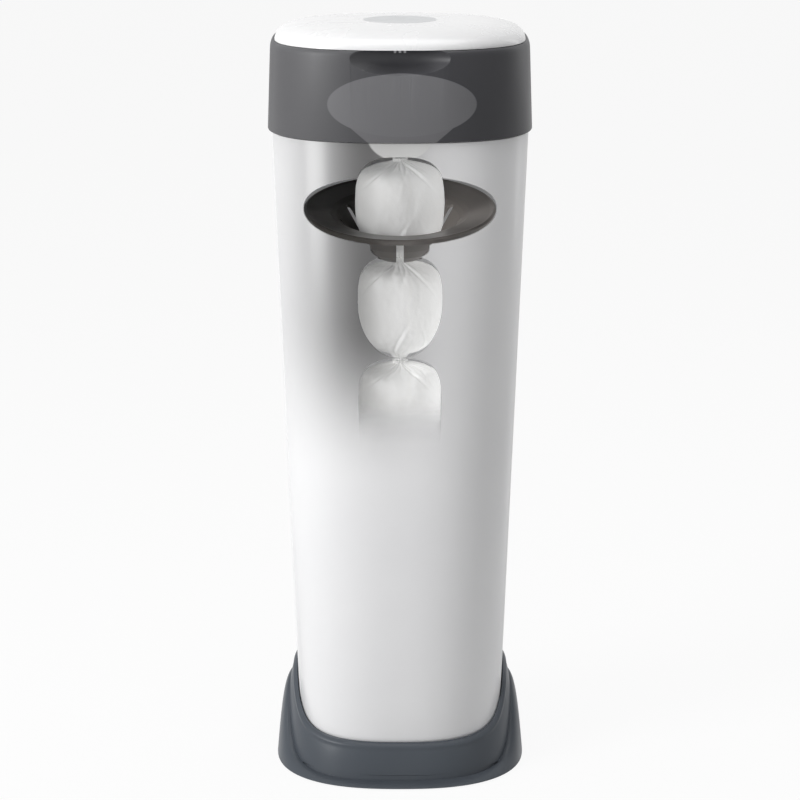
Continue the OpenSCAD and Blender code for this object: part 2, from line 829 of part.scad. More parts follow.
function dome_ring(s, inset, drop) =
  [for (i = [0:facets - 1])
    let(f = 360 * i / facets, p = outline(f, (lid_half_x - inset) * s, (lid_half_y - inset) * s, collar_square))
    [p[0], p[1], dome_z(f, s, lid_top) - drop]];

function dome_edge(inset) =
  [for (i = [0:facets - 1])
    let(f = 360 * i / facets, p = outline(f, lid_half_x - inset, lid_half_y - inset, collar_square))
    [p[0], p[1], lid_line(f) + lid_gap]];

module lid_outside() {
  loft_solid([for (s = dome_shares) dome_ring(s, 0, 0)]);
}

module lid_shell() {
  color([0.97, 0.97, 0.97])
    difference() {
      union() {
        difference() {
          lid_outside();
          loft_solid(concat(
            [[for (p = dome_edge(lid_thick)) [p[0], p[1], p[2] - 3]]],
            [dome_ring(0.985, lid_thick, lid_thick)],
            [for (s = [0.96, 0.92, 0.86, 0.76, 0.6, 0.4, 0.03]) dome_ring(s, lid_thick, lid_thick)]
          ));
        }
        // Hinge barrel with its web
        intersection() {
          union() {
            translate([0, lid_axis_y, lid_axis_z])
              bar_x(-barrel_half, barrel_half, barrel_radius);
            translate([-barrel_half, lid_axis_y - 2.5, lid_axis_z])
              cube([2 * barrel_half, 5, 10]);
          }
          union() {
            lid_outside();
            translate([0, lid_axis_y, lid_axis_z])
              bar_x(-barrel_half - 1, barrel_half + 1, barrel_radius + 0.1);
          }
        }
        // Screw bosses for the liner
        for (sx = [-1, 1], sy = [-1, 1])
          translate([sx * liner_screw_at[0], sy * liner_screw_at[1], liner_z + liner_thick])
            cylinder(r = 4, h = lid_top - lid_thick - liner_z - liner_thick + 0.6, $fn = 32);
      }
      translate([0, lid_axis_y, lid_axis_z])
        bar_x(-barrel_half - 2, barrel_half + 2, lid_pin_radius + pin_fit);
      // Room for the deck's hinge lugs
      both_sides()
        translate([0, lid_axis_y, lid_axis_z])
          bar_x(barrel_half + 0.1, lid_pin_half + 1, barrel_radius + 0.4);
      translate([0, 0, lid_top - inlay_thick])
        cylinder(r = inlay_radius + seat, h = 4, $fn = smooth);
      for (sx = [-1, 1], sy = [-1, 1])
        translate([sx * liner_screw_at[0], sy * liner_screw_at[1], liner_z])
          cylinder(r = screw_hole, h = liner_screw_long + 1, $fn = 32);
    }
}

module lid_inlay() {
  color([0.82, 0.83, 0.84])
    translate([0, 0, lid_top - inlay_thick])
      cylinder(r = inlay_radius, h = inlay_thick, $fn = smooth);
}

seal_bottom = deck_top + 3.3;

module lid_liner() {
  color([0.86, 0.86, 0.87])
    difference() {
      rotate_extrude($fn = smooth)
        polygon([
          [0, liner_z],
          [liner_radius - 6, liner_z],
          [liner_radius - 6, liner_z - 3],
          [liner_radius, liner_z - 3],
          [liner_radius, liner_z + liner_thick],
          [0, liner_z + liner_thick]
        ]);
      for (sx = [-1, 1], sy = [-1, 1])
        translate([sx * liner_screw_at[0], sy * liner_screw_at[1], liner_z - 2])
          cylinder(r = screw_hole, h = 9, $fn = 32);
    }
}

module liner_screws() {
  color([0.72, 0.72, 0.74])
    for (sx = [-1, 1], sy = [-1, 1])
      translate([sx * liner_screw_at[0], sy * liner_screw_at[1], liner_z])
        screw_up(liner_screw_long);
}

module lid_seal() {
  color([0.55, 0.56, 0.58])
    rotate_extrude($fn = smooth)
      polygon([
        [liner_radius - 3, seal_bottom],
        [liner_radius - 1, seal_bottom],
        [liner_radius - 0.4, liner_z - 5],
        [liner_radius, liner_z - 3],
        [liner_radius - 5, liner_z - 3],
        [liner_radius - 3.6, liner_z - 5]
      ]);
}

rib_tall = 1.8;

module lid_lip_ribs() {
  color([0.95, 0.95, 0.95])
    for (x = [-4, 0, 4])
      translate([x - 1, -lid_half_y + 0.2, lid_line_front + lid_gap - near - rib_tall])
        cube([2, 2.2, rib_tall]);
}

module lid_hinge_pin() {
  color([0.72, 0.72, 0.74])
    translate([0, lid_axis_y, lid_axis_z])
      bar_x(-lid_pin_half, lid_pin_half, lid_pin_radius);
}

// ---------------------------------------------------------------- twist ring, cassette and film

cap_thick = 1.6;
cap_skirt = 8;
cap_catch = 4;
cap_slot = 5;

module twist_ring() {
  color([0.30, 0.31, 0.34])
    difference() {
      rotate_extrude($fn = smooth)
        polygon([
          [core_radius + 5, cassette_top + cap_thick + 0.8],
          [cassette_out, cassette_top + cap_thick + 0.8],
          [cassette_out, twist_top - 5],
          [cassette_out - 4, twist_top],
          [cassette_out - 9, twist_top],
          [core_radius + 2, twist_top - 11],
          [core_radius - 2, twist_top - 22],
          [core_radius, twist_top - 23]
        ]);
      // Finger hollows round the grip
      for (k = [0:lobes - 1])
        rotate([0, 0, k * 360 / lobes])
          translate([core_radius + 2, 0, twist_top + 9])
            sphere(r = 15, $fn = 48);
    }
}

module cassette_body() {
  color([0.90, 0.90, 0.91])
    rotate_extrude($fn = smooth)
      polygon([
        [core_radius, cassette_z],
        [cassette_out, cassette_z],
        [cassette_out, cassette_top],
        [cassette_out - cassette_wall, cassette_top],
        [cassette_out - cassette_wall, cassette_z + cassette_wall],
        [core_radius + cassette_wall, cassette_z + cassette_wall],
        [core_radius + cassette_wall, core_top - 1],
        [core_radius + cassette_wall / 2, core_top],
        [core_radius, core_top - 1]
      ]);
}

module cassette_cap() {
  color([0.32, 0.55, 0.72])
    rotate_extrude($fn = smooth)
      polygon([
        [core_radius + cap_slot, cassette_top + cap_thick],
        [core_radius + cap_slot, cassette_top - cap_skirt],
        [core_radius + cap_slot + 1.2, cassette_top - cap_skirt],
        [core_radius + cap_slot + 1.2, cassette_top],
        [cassette_out - cassette_wall - 1.3, cassette_top],
        [cassette_out - cassette_wall - 1.3, cassette_top - cap_catch],
        [cassette_out - cassette_wall - seat, cassette_top - cap_catch],
        [cassette_out - cassette_wall - seat, cassette_top],
        [cassette_out, cassette_top],
        [cassette_out, cassette_top + cap_thick]
      ]);
}

pack_in = core_radius + cassette_wall + 0.6;
pack_out = cassette_out - cassette_wall - 1.5;
pack_low = cassette_z + cassette_wall;
pack_tall = core_top - pack_low - 2;

module film_pack() {
  color([0.88, 0.90, 0.90])
    rotate_extrude($fn = smooth)
      polygon(concat(
        [for (k = [0:2 * pleats]) [pack_in + (k % 2) * 0.8, pack_low + pack_tall * k / (2 * pleats)]],
        [for (k = [2 * pleats:-1:0]) [pack_out - (k % 2) * 0.8, pack_low + pack_tall * k / (2 * pleats)]]
      ));
}

// Funnel curve as the share of the way from the neck to the core and the drop below the core's top
neck_radius = 7.5;
funnel_curve = [
  [0.978, -0.8], [0.936, 4.6], [0.835, 12.7], [0.743, 17.6], [0.646, 21.8],
  [0.479, 29.4], [0.285, 38.5], [0.101, 45], [0, 48]
];
funnel_line = [for (p = funnel_curve) [neck_radius + (core_radius - neck_radius) * p[0], core_top - p[1]]];

module film_funnel() {
  color([0.93, 0.94, 0.94])
    rotate_extrude($fn = smooth)
      polygon(concat(
        funnel_line,
        [for (k = [len(funnel_line) - 1:-1:0])
          [funnel_line[k][0] - film_thick * 0.75, funnel_line[k][1] + film_thick * 0.75]],
        [
          [core_radius + 0.4, core_top + 2.2],
          [core_radius + cassette_wall + 0.8, core_top + 1.6],
          [core_radius + cassette_wall + 1.8, core_top - 1],
          [core_radius + cassette_wall + 1.8, core_top - 1.9],
          [core_radius + cassette_wall + 0.9, core_top - 1.9],
          [core_radius + cassette_wall + 0.8, core_top],
          [core_radius + 0.2, core_top + 0.9]
        ]
      ));
}

// ---------------------------------------------------------------- wrapped nappies

// Bag outline as a share of its radius and a share of its height, with the neck in millimetres
bag_low_neck = [[0, 0], [5, 0], [6.5, 0.04], [9, 0.07]];
bag_side = [
  [0.52, 0.115], [0.78, 0.185], [0.927, 0.28], [0.995, 0.42], [1, 0.6], [0.974, 0.75],
  [0.872, 0.855], [0.65, 0.915], [0.34, 0.95]
];
bag_high_neck = [[6.5, 0.97], [7.3, 1], [0, 1]];
bag_clear = 13.6;
bag_radius = grip_mouth - bag_clear;
bag_talls = [86.7, 91.5, 79.1];
neck_two = neck_one - bag_talls[0];
neck_three = neck_two - bag_talls[1];
chain_end = neck_three - bag_talls[2];

module nappy_bag(z0, z1, swell) {
  outline_points = concat(
    bag_low_neck,
    [for (p = bag_side) [p[0] * bag_radius * swell, p[1]]],
    bag_high_neck
  );
  color([0.93, 0.93, 0.92])
    translate([0, 0, z0])
      rotate_extrude($fn = smooth)
        polygon([for (p = outline_points) [p[0], p[1] * (z1 - z0)]]);
}

module nappy_bag_top() {
  nappy_bag(neck_two, neck_one, 1);
}

module nappy_bag_middle() {
  nappy_bag(neck_three, neck_two, 0.955);
}

module nappy_bag_bottom() {
  nappy_bag(chain_end, neck_three, 0.94);
  color([0.93, 0.93, 0.92])
    translate([0, 0, chain_end - 5])
      sphere(r = 8, $fn = 48);
}

// ---------------------------------------------------------------- film cutter

cutter_drop = 146.4;
cutter_z = collar_bottom - cutter_drop;
cutter_y = 16;
cutter_x = -half(cutter_z) + wall + 0.6;

module cutter_housing() {
  color([0.25, 0.25, 0.27])
    difference() {
      intersection() {
        translate([cutter_x - 6, cutter_y - 14, cutter_z - 16])
          cube([19, 28, 32]);
        body_solid(cutter_z - 40, cutter_z + 40, -wall - rest_gap);
      }
      // Throat that takes the film
      translate([cutter_x + 3, cutter_y - 20, cutter_z - 3])
        cube([30, 50, 6]);
      // Seat for the blade
      translate([cutter_x + 1.4, cutter_y - 9, cutter_z - 5])
        cube([1.7, 18, 10]);
      translate([cutter_x + 1.4, cutter_y - 9, cutter_z - 5])
        cube([7, 0.8, 10]);
    }
}

module cutter_blade() {
  color([0.72, 0.72, 0.74])
    translate([cutter_x + 1.5, cutter_y - 8.95, cutter_z - 4.95])
      cube([6.4, 0.7, 9.9]);
}

// ---------------------------------------------------------------- latch

housing_x = button_x - 21;
arm_x = button_x - 15;
arm_thick = 2.6;

module latch_housing() {
  color([0.25, 0.25, 0.27])
    difference() {
      intersection() {
        translate([housing_x, -16, latch_z - 13])
          cube([40, 30, 26]);
        body_solid(latch_z - 60, latch_z + 20, -wall - rest_gap);
      }
      translate([housing_x + 2, -20, latch_z - 11])
        cube([50, 32, 22]);
    }
}

module latch_button() {
  color([0.93, 0.93, 0.93])
    difference() {
      union() {
        translate([0, 0, latch_z])
          bar_x(arm_x, button_x, button_radius);
        translate([0, 0, latch_z])
          bar_x(button_x - 6.5, button_x - 5, button_radius + 1.8);
        // Arm that reaches forwards to the keeper
        translate([arm_x, seam_y - 14, latch_z - 2.5])
          cube([arm_thick, 14 - seam_y, 5]);
        translate([arm_x, seam_y - 14, latch_z - 2.5])
          cube([arm_thick + 1.2, 3, 5]);
      }
      translate([0, 0, latch_z])
        bar_x(arm_x - 1, button_x - 3, 5.6);
    }
}

spring_turns = 5;
spring_steps = 16;
spring_radius = 4.4;
spring_wire = 0.5;
spring_x0 = housing_x + 2.05;
spring_x1 = button_x - 3.05;

module latch_spring() {
  count = spring_turns * spring_steps;
  long = spring_x1 - spring_x0 - 2 * spring_wire;
  color([0.72, 0.72, 0.74])
    translate([spring_x0 + spring_wire, 0, latch_z])
      rotate([0, 90, 0])
        loft_solid([for (k = [0:count]) spring_section(k / count, long)]);
}

function spring_section(s, long) =
  [for (j = [7:-1:0])
    let(f = s * 360 * spring_turns, r = spring_radius + spring_wire * cos(45 * j))
    [r * cos(f), r * sin(f), s * long + spring_wire * sin(45 * j)]];

// ---------------------------------------------------------------- front door

module door_panel() {
  color([0.94, 0.94, 0.94])
    difference() {
      union() {
        intersection() {
          loft_tube([
            rim_ring(-door_nest, 0),
            body_ring(door_top, 0),
            body_ring(door_top, -wall),
            rim_ring(-door_nest, -wall)
          ]);
          front_of(seam_y - door_gap / 2);
        }
        // Stiffening flange under the collar
        intersection() {
          body_wall(door_top - 2.5, door_top, -wall + 0.5, -wall - 7);
          front_of(seam_y - 8);
        }
        // Hinge ears with stop tails
        intersection() {
          both_sides()
            plate_x(ear_x - ear_thick / 2, ear_thick, [
              [door_axis_y + 7, door_axis_z],
              [door_axis_y + 5, door_axis_z + 5],
              [door_axis_y, door_axis_z + 7],
              [door_axis_y - 40, door_axis_z + 22],
              [door_axis_y - 40, door_axis_z - 8],
              [door_axis_y - 6, door_axis_z - 6],
              [door_axis_y - tail_half, door_axis_z - tail_long],
              [door_axis_y + tail_half, door_axis_z - tail_long],
              [door_axis_y + tail_half, door_axis_z - 6]
            ]);
          union() {
            body_solid(door_axis_z - 12, door_axis_z + 60, -wall + 1);
            translate([-100, door_axis_y - 8, 20])
              cube([200, 30, 40]);
          }
        }
      }
      both_sides()
        translate([0, door_axis_y, door_axis_z])
          bar_x(ear_x - 10, ear_x + 10, door_pin_radius + pin_fit);
    }
}

keeper_x = arm_x + arm_thick + 1.6;
keeper_low = latch_z - 9;

module door_keeper() {
  color([0.25, 0.25, 0.27])
    difference() {
      intersection() {
        translate([keeper_x, seam_y - 24, keeper_low])
          cube([20, 22, 18]);
        body_solid(latch_z - 60, latch_z + 20, -wall - rest_gap);
      }
      // Window for the latch arm's nose
      translate([keeper_x - 5, seam_y - 16, latch_z - 3.5])
        cube([9, 7, 7]);
      // Hollow back
      translate([keeper_x + 2, seam_y - 30, latch_z - 7])
        cube([far - keeper_x, 18, 14]);
    }
}

base();
foot_pads();
base_screws();
door_hinge_pins();
rear_shell();
grip_ring();
grip_bracket();
bracket_screws();
head_collar();
head_deck();
deck_screws();
lid_hinge_pin();
lid_shell();
lid_inlay();
lid_liner();
liner_screws();
lid_seal();
lid_lip_ribs();
twist_ring();
cassette_body();
cassette_cap();
film_pack();
film_funnel();
nappy_bag_top();
nappy_bag_middle();
nappy_bag_bottom();
cutter_housing();
cutter_blade();
latch_housing();
latch_button();
latch_spring();
door_panel();
door_keeper();
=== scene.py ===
import math

import bmesh
import bpy
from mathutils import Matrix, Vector, noise


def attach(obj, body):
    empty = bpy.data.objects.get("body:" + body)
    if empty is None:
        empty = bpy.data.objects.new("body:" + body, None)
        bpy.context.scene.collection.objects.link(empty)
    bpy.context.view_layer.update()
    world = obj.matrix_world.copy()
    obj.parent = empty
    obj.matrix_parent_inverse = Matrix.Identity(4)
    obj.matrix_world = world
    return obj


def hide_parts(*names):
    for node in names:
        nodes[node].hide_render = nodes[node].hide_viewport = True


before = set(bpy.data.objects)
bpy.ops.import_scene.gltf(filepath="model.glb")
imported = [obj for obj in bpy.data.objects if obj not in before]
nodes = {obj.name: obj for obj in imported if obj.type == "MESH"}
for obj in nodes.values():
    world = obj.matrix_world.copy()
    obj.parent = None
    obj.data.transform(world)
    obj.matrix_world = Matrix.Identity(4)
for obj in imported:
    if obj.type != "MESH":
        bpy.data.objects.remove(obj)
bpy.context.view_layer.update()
mm = 0.001


# ---------------------------------------------------------------- studio
# A pale floor that runs far back, a broad soft key from the left front, a weak fill from
# the right, a strip behind that draws the right-hand edge and a wide lamp overhead.

def lamp(name, place, aim, size, power):
    bpy.ops.object.light_add(type="AREA", location=place)
    light = bpy.context.object
    light.name = name
    light.data.shape = "RECTANGLE"
    light.data.size, light.data.size_y = size
    light.data.energy = power
    light.rotation_euler = (Vector(aim) - Vector(place)).to_track_quat("-Z", "Y").to_euler()
    return light


camera_at = (0, -2.2173, 0.8865)
camera_aim = (0, 0, 0.3246)
bpy.ops.object.select_all(action="DESELECT")
bpy.ops.object.camera_add(location=camera_at)
camera = bpy.context.object
camera.rotation_euler = (Vector(camera_aim) - camera.location).to_track_quat("-Z", "Y").to_euler()
camera.data.lens = 117.26
camera.data.sensor_width = 36
bpy.context.scene.camera = camera
bpy.context.scene.view_settings.view_transform = "Standard"

lamp("key_lamp", place=(-2.2, -1.38, 1.2), aim=(0, 0, 0.35), size=(1.1, 1.8), power=56)
lamp("fill_lamp", place=(1.8, -1.6, 1.2), aim=(0, 0, 0.35), size=(1.2, 1.6), power=2)
lamp("edge_lamp", place=(1.5, 1.1, 1.0), aim=(0, 0, 0.35), size=(0.5, 1.6), power=3)
lamp("top_lamp", place=(0, -0.2, 2.4), aim=(0, 0, 0.4), size=(1.6, 1.6), power=21)


def maths(tree, how, a, b=None):
    made = tree.nodes.new("ShaderNodeMath")
    made.operation = how
    for socket, value in ((made.inputs[0], a), (made.inputs[1], b)):
        if isinstance(value, (int, float)):
            socket.default_value = value
        elif value is not None:
            tree.links.new(value, socket)
    return made.outputs[0]


# How far the floor and the air glow white: only where they are seen, so that they add no light
def seen_share(tree, most):
    rays = tree.nodes.new("ShaderNodeLightPath").outputs
    seen = maths(tree, "MAXIMUM", rays["Is Camera Ray"], rays["Is Glossy Ray"])
    seen = maths(tree, "MAXIMUM", seen, rays["Is Transmission Ray"])
    return maths(tree, "MULTIPLY", seen, most)


seen_white = 1.0
room_strength = 0.20
floor_share = 0.92
world = bpy.data.worlds.new("studio_air")
bpy.context.scene.world = world
world.use_nodes = True
air = world.node_tree
air.nodes.clear()
air_out = air.nodes.new("ShaderNodeOutputWorld")
room_light = air.nodes.new("ShaderNodeBackground")
room_light.inputs["Color"].default_value = (1, 1, 1, 1)
room_light.inputs["Strength"].default_value = room_strength
seen_air = air.nodes.new("ShaderNodeBackground")
seen_air.inputs["Color"].default_value = (1, 1, 1, 1)
seen_air.inputs["Strength"].default_value = seen_white
air_mix = air.nodes.new("ShaderNodeMixShader")
air.links.new(seen_share(air, 1.0), air_mix.inputs[0])
air.links.new(room_light.outputs[0], air_mix.inputs[1])
air.links.new(seen_air.outputs[0], air_mix.inputs[2])
air.links.new(air_mix.outputs[0], air_out.inputs["Surface"])

bpy.ops.mesh.primitive_plane_add(size=40)
floor = bpy.context.object
floor.name = "studio_floor"
floor_finish = bpy.data.materials.new("floor_white")
floor_finish.use_nodes = True
paint = floor_finish.node_tree
paint.nodes.clear()
floor_out = paint.nodes.new("ShaderNodeOutputMaterial")
matt = paint.nodes.new("ShaderNodeBsdfDiffuse")
matt.inputs["Color"].default_value = (0.88, 0.88, 0.88, 1)
glow = paint.nodes.new("ShaderNodeEmission")
glow.inputs["Color"].default_value = (1, 1, 1, 1)
glow.inputs["Strength"].default_value = seen_white
floor_mix = paint.nodes.new("ShaderNodeMixShader")
paint.links.new(seen_share(paint, floor_share), floor_mix.inputs[0])
paint.links.new(matt.outputs[0], floor_mix.inputs[1])
paint.links.new(glow.outputs[0], floor_mix.inputs[2])
paint.links.new(floor_mix.outputs[0], floor_out.inputs["Surface"])
floor.data.materials.append(floor_finish)


# ---------------------------------------------------------------- foot base
# Dark blue-grey plastic in one moulding: a rim that sweeps up towards the back, a skirt that
# spreads to the floor, and a floor inside. The panel and the rear shell stand in its rim.

# The tapered body that every shell follows: its half width low down and at the top, the
# share of its width that it is deep, and how square its rounded outline is
body_half_low, body_low_z = 91.2, 75
body_half_top, body_top_z = 109.6, 566.4
depth_share = 0.88
body_square = 2.6


def outline(f, half_x, half_y, square):
    r = 1 / ((abs(math.cos(f)) / half_x) ** square + (abs(math.sin(f)) / half_y) ** square) ** (1 / square)
    return r * math.cos(f), r * math.sin(f)


def rise(y, middle, soft):
    return 1 / (1 + math.exp(-(y - middle) / soft))


def body_half(z):
    return body_half_low + (z - body_low_z) * (body_half_top - body_half_low) / (body_top_z - body_low_z)


def body_point(f, z, out):
    half = body_half(z)
    x, y = outline(f, half + out, depth_share * half + out, body_square)
    return x, y, z


def body_y(f):
    return outline(f, body_half_low, depth_share * body_half_low, body_square)[1]


# The rim of the base and the crease of its skirt, low at the front and swept up to the back,
# and how far the crease stands out of the body at the side and at the nose
rim_low, rim_lift, rim_turn, rim_soft = 33.9, 52, -25, 15
crease_low, crease_lift, crease_turn, crease_soft = 3.5, 62, -20, 13
nose_turn, nose_soft = -50, 15
wing_side, wing_nose = 9, 3.6


def rim_z(f):
    return rim_low + rim_lift * rise(body_y(f), rim_turn, rim_soft)


def crease_z(f):
    return crease_low + crease_lift * rise(body_y(f), crease_turn, crease_soft)


def frontness(f):
    return 1 - rise(body_y(f), nose_turn, nose_soft)


def wing(f):
    return wing_side + wing_nose * frontness(f)


def lay_ring(piece, place):
    mesh = bmesh.from_edit_mesh(piece.data)
    for point in mesh.verts:
        if point.select:
            point.co = Vector(place(math.atan2(point.co.y, point.co.x))) * mm
    bmesh.update_edit_mesh(piece.data)


def loft(name, rings, facets=180, ends=False, joined=False):
    bpy.ops.object.select_all(action="DESELECT")
    bpy.ops.mesh.primitive_circle_add(vertices=facets, radius=1, fill_type="NGON" if ends else "NOTHING")
    piece = bpy.context.object
    piece.name = name
    bpy.ops.object.mode_set(mode="EDIT")
    lay_ring(piece, rings[0])
    for place in rings[1:]:
        bpy.ops.mesh.extrude_region_move()
        lay_ring(piece, place)
    bpy.ops.mesh.select_all(action="SELECT")
    if joined:
        bpy.ops.mesh.remove_doubles(threshold=1e-7)
    bpy.ops.mesh.normals_make_consistent(inside=False)
    bpy.ops.object.mode_set(mode="OBJECT")
    return piece


def only(piece):
    bpy.ops.object.select_all(action="DESELECT")
    piece.select_set(True)
    bpy.context.view_layer.objects.active = piece


def gather_up(piece, *others):
    only(piece)
    for other in others:
        other.select_set(True)
    bpy.ops.object.join()


def smooth(piece, angle=35):
    only(piece)
    bpy.ops.object.shade_smooth_by_angle(angle=math.radians(angle))


def plate(name, x0, thick, points):
    bpy.ops.object.select_all(action="DESELECT")
    bpy.ops.mesh.primitive_circle_add(vertices=len(points), radius=1, fill_type="NGON")
    piece = bpy.context.object
    piece.name = name
    for point, (y, z) in zip(piece.data.vertices, points):
        point.co = Vector((x0, y, z)) * mm
    bpy.ops.object.mode_set(mode="EDIT")
    bpy.ops.mesh.extrude_region_move(TRANSFORM_OT_translate={"value": (thick * mm, 0, 0)})
    bpy.ops.mesh.select_all(action="SELECT")
    bpy.ops.mesh.normals_make_consistent(inside=False)
    bpy.ops.object.mode_set(mode="OBJECT")
    return piece


def new_group(name, ins, outs):
    group = bpy.data.node_groups.new(name, "ShaderNodeTree")
    for label, kind, value in ins:
        socket = group.interface.new_socket(label, in_out="INPUT", socket_type=kind)
        if value is not None:
            socket.default_value = value
    for label, kind in outs:
        group.interface.new_socket(label, in_out="OUTPUT", socket_type=kind)
    return group, group.nodes.new("NodeGroupInput"), group.nodes.new("NodeGroupOutput")


FLOAT, VECTOR = "NodeSocketFloat", "NodeSocketVector"

# The skin of a moulded part: fine spark grain, slow clouds of tone and thin wiping marks
moulded_skin, skin_in, skin_out = new_group(
    "moulded_skin",
    [("Point", VECTOR, None), ("Grain", FLOAT, 900.0), ("Cloud", FLOAT, 9.0), ("Marks", FLOAT, 30.0)],
    [("Height", FLOAT), ("Cloud", FLOAT), ("Marks", FLOAT)])
grain = moulded_skin.nodes.new("ShaderNodeTexNoise")
grain.inputs["Detail"].default_value = 3
cloud = moulded_skin.nodes.new("ShaderNodeTexNoise")
cloud.inputs["Detail"].default_value = 4
cloud_range = moulded_skin.nodes.new("ShaderNodeMapRange")
cloud_range.inputs["From Min"].default_value = 0.3
cloud_range.inputs["From Max"].default_value = 0.7
drawn = moulded_skin.nodes.new("ShaderNodeMapping")
drawn.inputs["Scale"].default_value = (1, 1, 0.16)
marks = moulded_skin.nodes.new("ShaderNodeTexNoise")
marks.inputs["Detail"].default_value = 6
marks_range = moulded_skin.nodes.new("ShaderNodeMapRange")
marks_range.inputs["From Min"].default_value = 0.42
marks_range.inputs["From Max"].default_value = 0.68
wire = moulded_skin.links.new
for pattern in (grain, cloud):
    wire(skin_in.outputs["Point"], pattern.inputs["Vector"])
wire(skin_in.outputs["Point"], drawn.inputs["Vector"])
wire(drawn.outputs[0], marks.inputs["Vector"])
wire(skin_in.outputs["Grain"], grain.inputs["Scale"])
wire(skin_in.outputs["Cloud"], cloud.inputs["Scale"])
wire(skin_in.outputs["Marks"], marks.inputs["Scale"])
wire(cloud.outputs[0], cloud_range.inputs["Value"])
wire(marks.outputs[0], marks_range.inputs["Value"])
wire(grain.outputs[0], skin_out.inputs["Height"])
wire(cloud_range.outputs[0], skin_out.inputs["Cloud"])
wire(marks_range.outputs[0], skin_out.inputs["Marks"])


class Finish:
    def __init__(self, name):
        self.material = bpy.data.materials.new(name)
        self.material.use_nodes = True
        self.tree = self.material.node_tree
        self.shader = self.tree.nodes["Principled BSDF"]
        self.coords = self.tree.nodes.new("ShaderNodeTexCoord")

    def node(self, kind, **settings):
        made = self.tree.nodes.new(kind)
        for key, value in settings.items():
            setattr(made, key, value)
        return made

    def link(self, a, b):
        self.tree.links.new(a, b)

    def group(self, group, **values):
        made = self.node("ShaderNodeGroup", node_tree=group)
        self.link(self.coords.outputs["Object"], made.inputs[0])
        for key, value in values.items():
            made.inputs[key].default_value = value
        return made

    def colours(self, factor, low, high):
        mix = self.node("ShaderNodeMix", data_type="RGBA")
        mix.inputs[6].default_value = (*low, 1)
        mix.inputs[7].default_value = (*high, 1)
        self.link(factor, mix.inputs[0])
        return mix.outputs[2]

    def spread(self, value, low, high):
        made = self.node("ShaderNodeMapRange")
        made.inputs["To Min"].default_value = low
        made.inputs["To Max"].default_value = high
        self.link(value, made.inputs["Value"])
        return made.outputs[0]

    def maths(self, how, a, b=None):
        return maths(self.tree, how, a, b)

    def bump(self, height, depth):
        made = self.node("ShaderNodeBump")
        made.inputs["Distance"].default_value = depth
        self.link(height, made.inputs["Height"])
        self.link(made.outputs[0], self.shader.inputs["Normal"])

    def set(self, socket, value):
        self.shader.inputs[socket].default_value = value


def moulded(name, low, high, rough, grain_size=900.0, depth=0.00002, cloud_size=9.0, marks_size=30.0):
    finish = Finish(name)
    skin = finish.group(moulded_skin, Grain=grain_size, Cloud=cloud_size, Marks=marks_size)
    finish.link(finish.colours(skin.outputs["Cloud"], low, high), finish.shader.inputs["Base Color"])
    finish.link(finish.spread(skin.outputs["Marks"], *rough), finish.shader.inputs["Roughness"])
    finish.bump(skin.outputs["Height"], depth)
    return finish


def dress(piece, finish):
    piece.data.materials.clear()
    piece.data.materials.append(finish.material)


base_finish = moulded("base_plastic", low=(0.062, 0.072, 0.086), high=(0.072, 0.082, 0.096),
                      rough=(0.34, 0.46), grain_size=700.0, depth=0.00003)
base_finish.set("Specular IOR Level", 0.25)


base_half_x, base_half_y, base_square = 110.5, 102.9, 2.5
base_under, base_floor, base_wall = 1.4, 8.5, 2.4
nose_thick, skirt_flare = 11, 0.38
rim_out, rim_bead, bead_down, bead_soft = 2.0, 0.8, 2.8, 1.9


def skirt_point(f, v, inset, drop, z_end):
    z0 = crease_z(f) - drop
    cx, cy, _ = body_point(f, crease_z(f), wing(f) - inset)
    deep = inset + (nose_thick * frontness(f) if inset else 0)
    bx, by = outline(f, base_half_x - deep, base_half_y - deep, base_square)
    h = v ** skirt_flare
    return cx + (bx - cx) * h, cy + (by - cy) * h, z0 + (z_end - z0) * v


def wall_point(f, u, least, skin):
    z = rim_z(f) + (crease_z(f) - rim_z(f)) * u
    bead = rim_bead * math.exp(-((rim_z(f) - z - bead_down) / bead_soft) ** 2)
    out = rim_out + (wing(f) - rim_out) * u ** 0.6 + bead
    return body_point(f, z, max(least, out - skin))


def on_floor(point):
    return point[0], point[1], max(point[2], base_floor)


# Rings from the middle of the underside, up the skirt and the wall, over the rim and down
# the inside to the middle of the floor
def base_rings():
    rings = [lambda f: (*outline(f, 60, 56, base_square), base_under),
             lambda f: (*outline(f, 108, 100.4, base_square), base_under)]
    for k in range(15, 0, -1):
        rings.append(lambda f, v=(k / 15) ** 2: skirt_point(f, v, 0, 0, base_under))
    for k in range(26, -1, -1):
        rings.append(lambda f, u=(k / 26) ** 1.8: wall_point(f, u, 0, 0))
    for t in (30, 60, 90, 120, 150, 180):
        rings.append(lambda f, t=math.radians(t):
                     body_point(f, rim_z(f) + 0.9 * math.sin(t), 1.3 + 0.7 * math.cos(t)))
    for k in (1, 3, 6, 10, 14):
        rings.append(lambda f, u=(k / 14) ** 1.6: on_floor(wall_point(f, u, 0.6, base_wall)))
    rings.append(lambda f: on_floor(skirt_point(f, 0.3, base_wall, 2, -2)))
    rings.append(lambda f: (*outline(f, 60, 56, base_square), base_floor))
    return rings


foot_base = loft("foot_base", base_rings(), ends=True)

# Lugs on the floor carry the pins that the front panel tilts on
hinge_y, hinge_z = -53.956, 50
lug_thick, lug_inner_x, lug_outer_x = 5, 40.5, 51.5
lug_points = [(hinge_y + y, hinge_z + z) for y, z in (
    (9, -42.5), (32, -42.5), (20, -6), (4, 6), (0, 7), (-5, 5), (-7, 0), (-5, -5), (0, -7), (7, -12))]
for side in (-1, 1):
    for x in (lug_inner_x, lug_outer_x):
        middle = side * (x + lug_thick / 2)
        gather_up(foot_base, plate("lug", middle - lug_thick / 2, lug_thick, lug_points))
smooth(foot_base, 40)
dress(foot_base, base_finish)
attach(foot_base, "bin")
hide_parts("base")


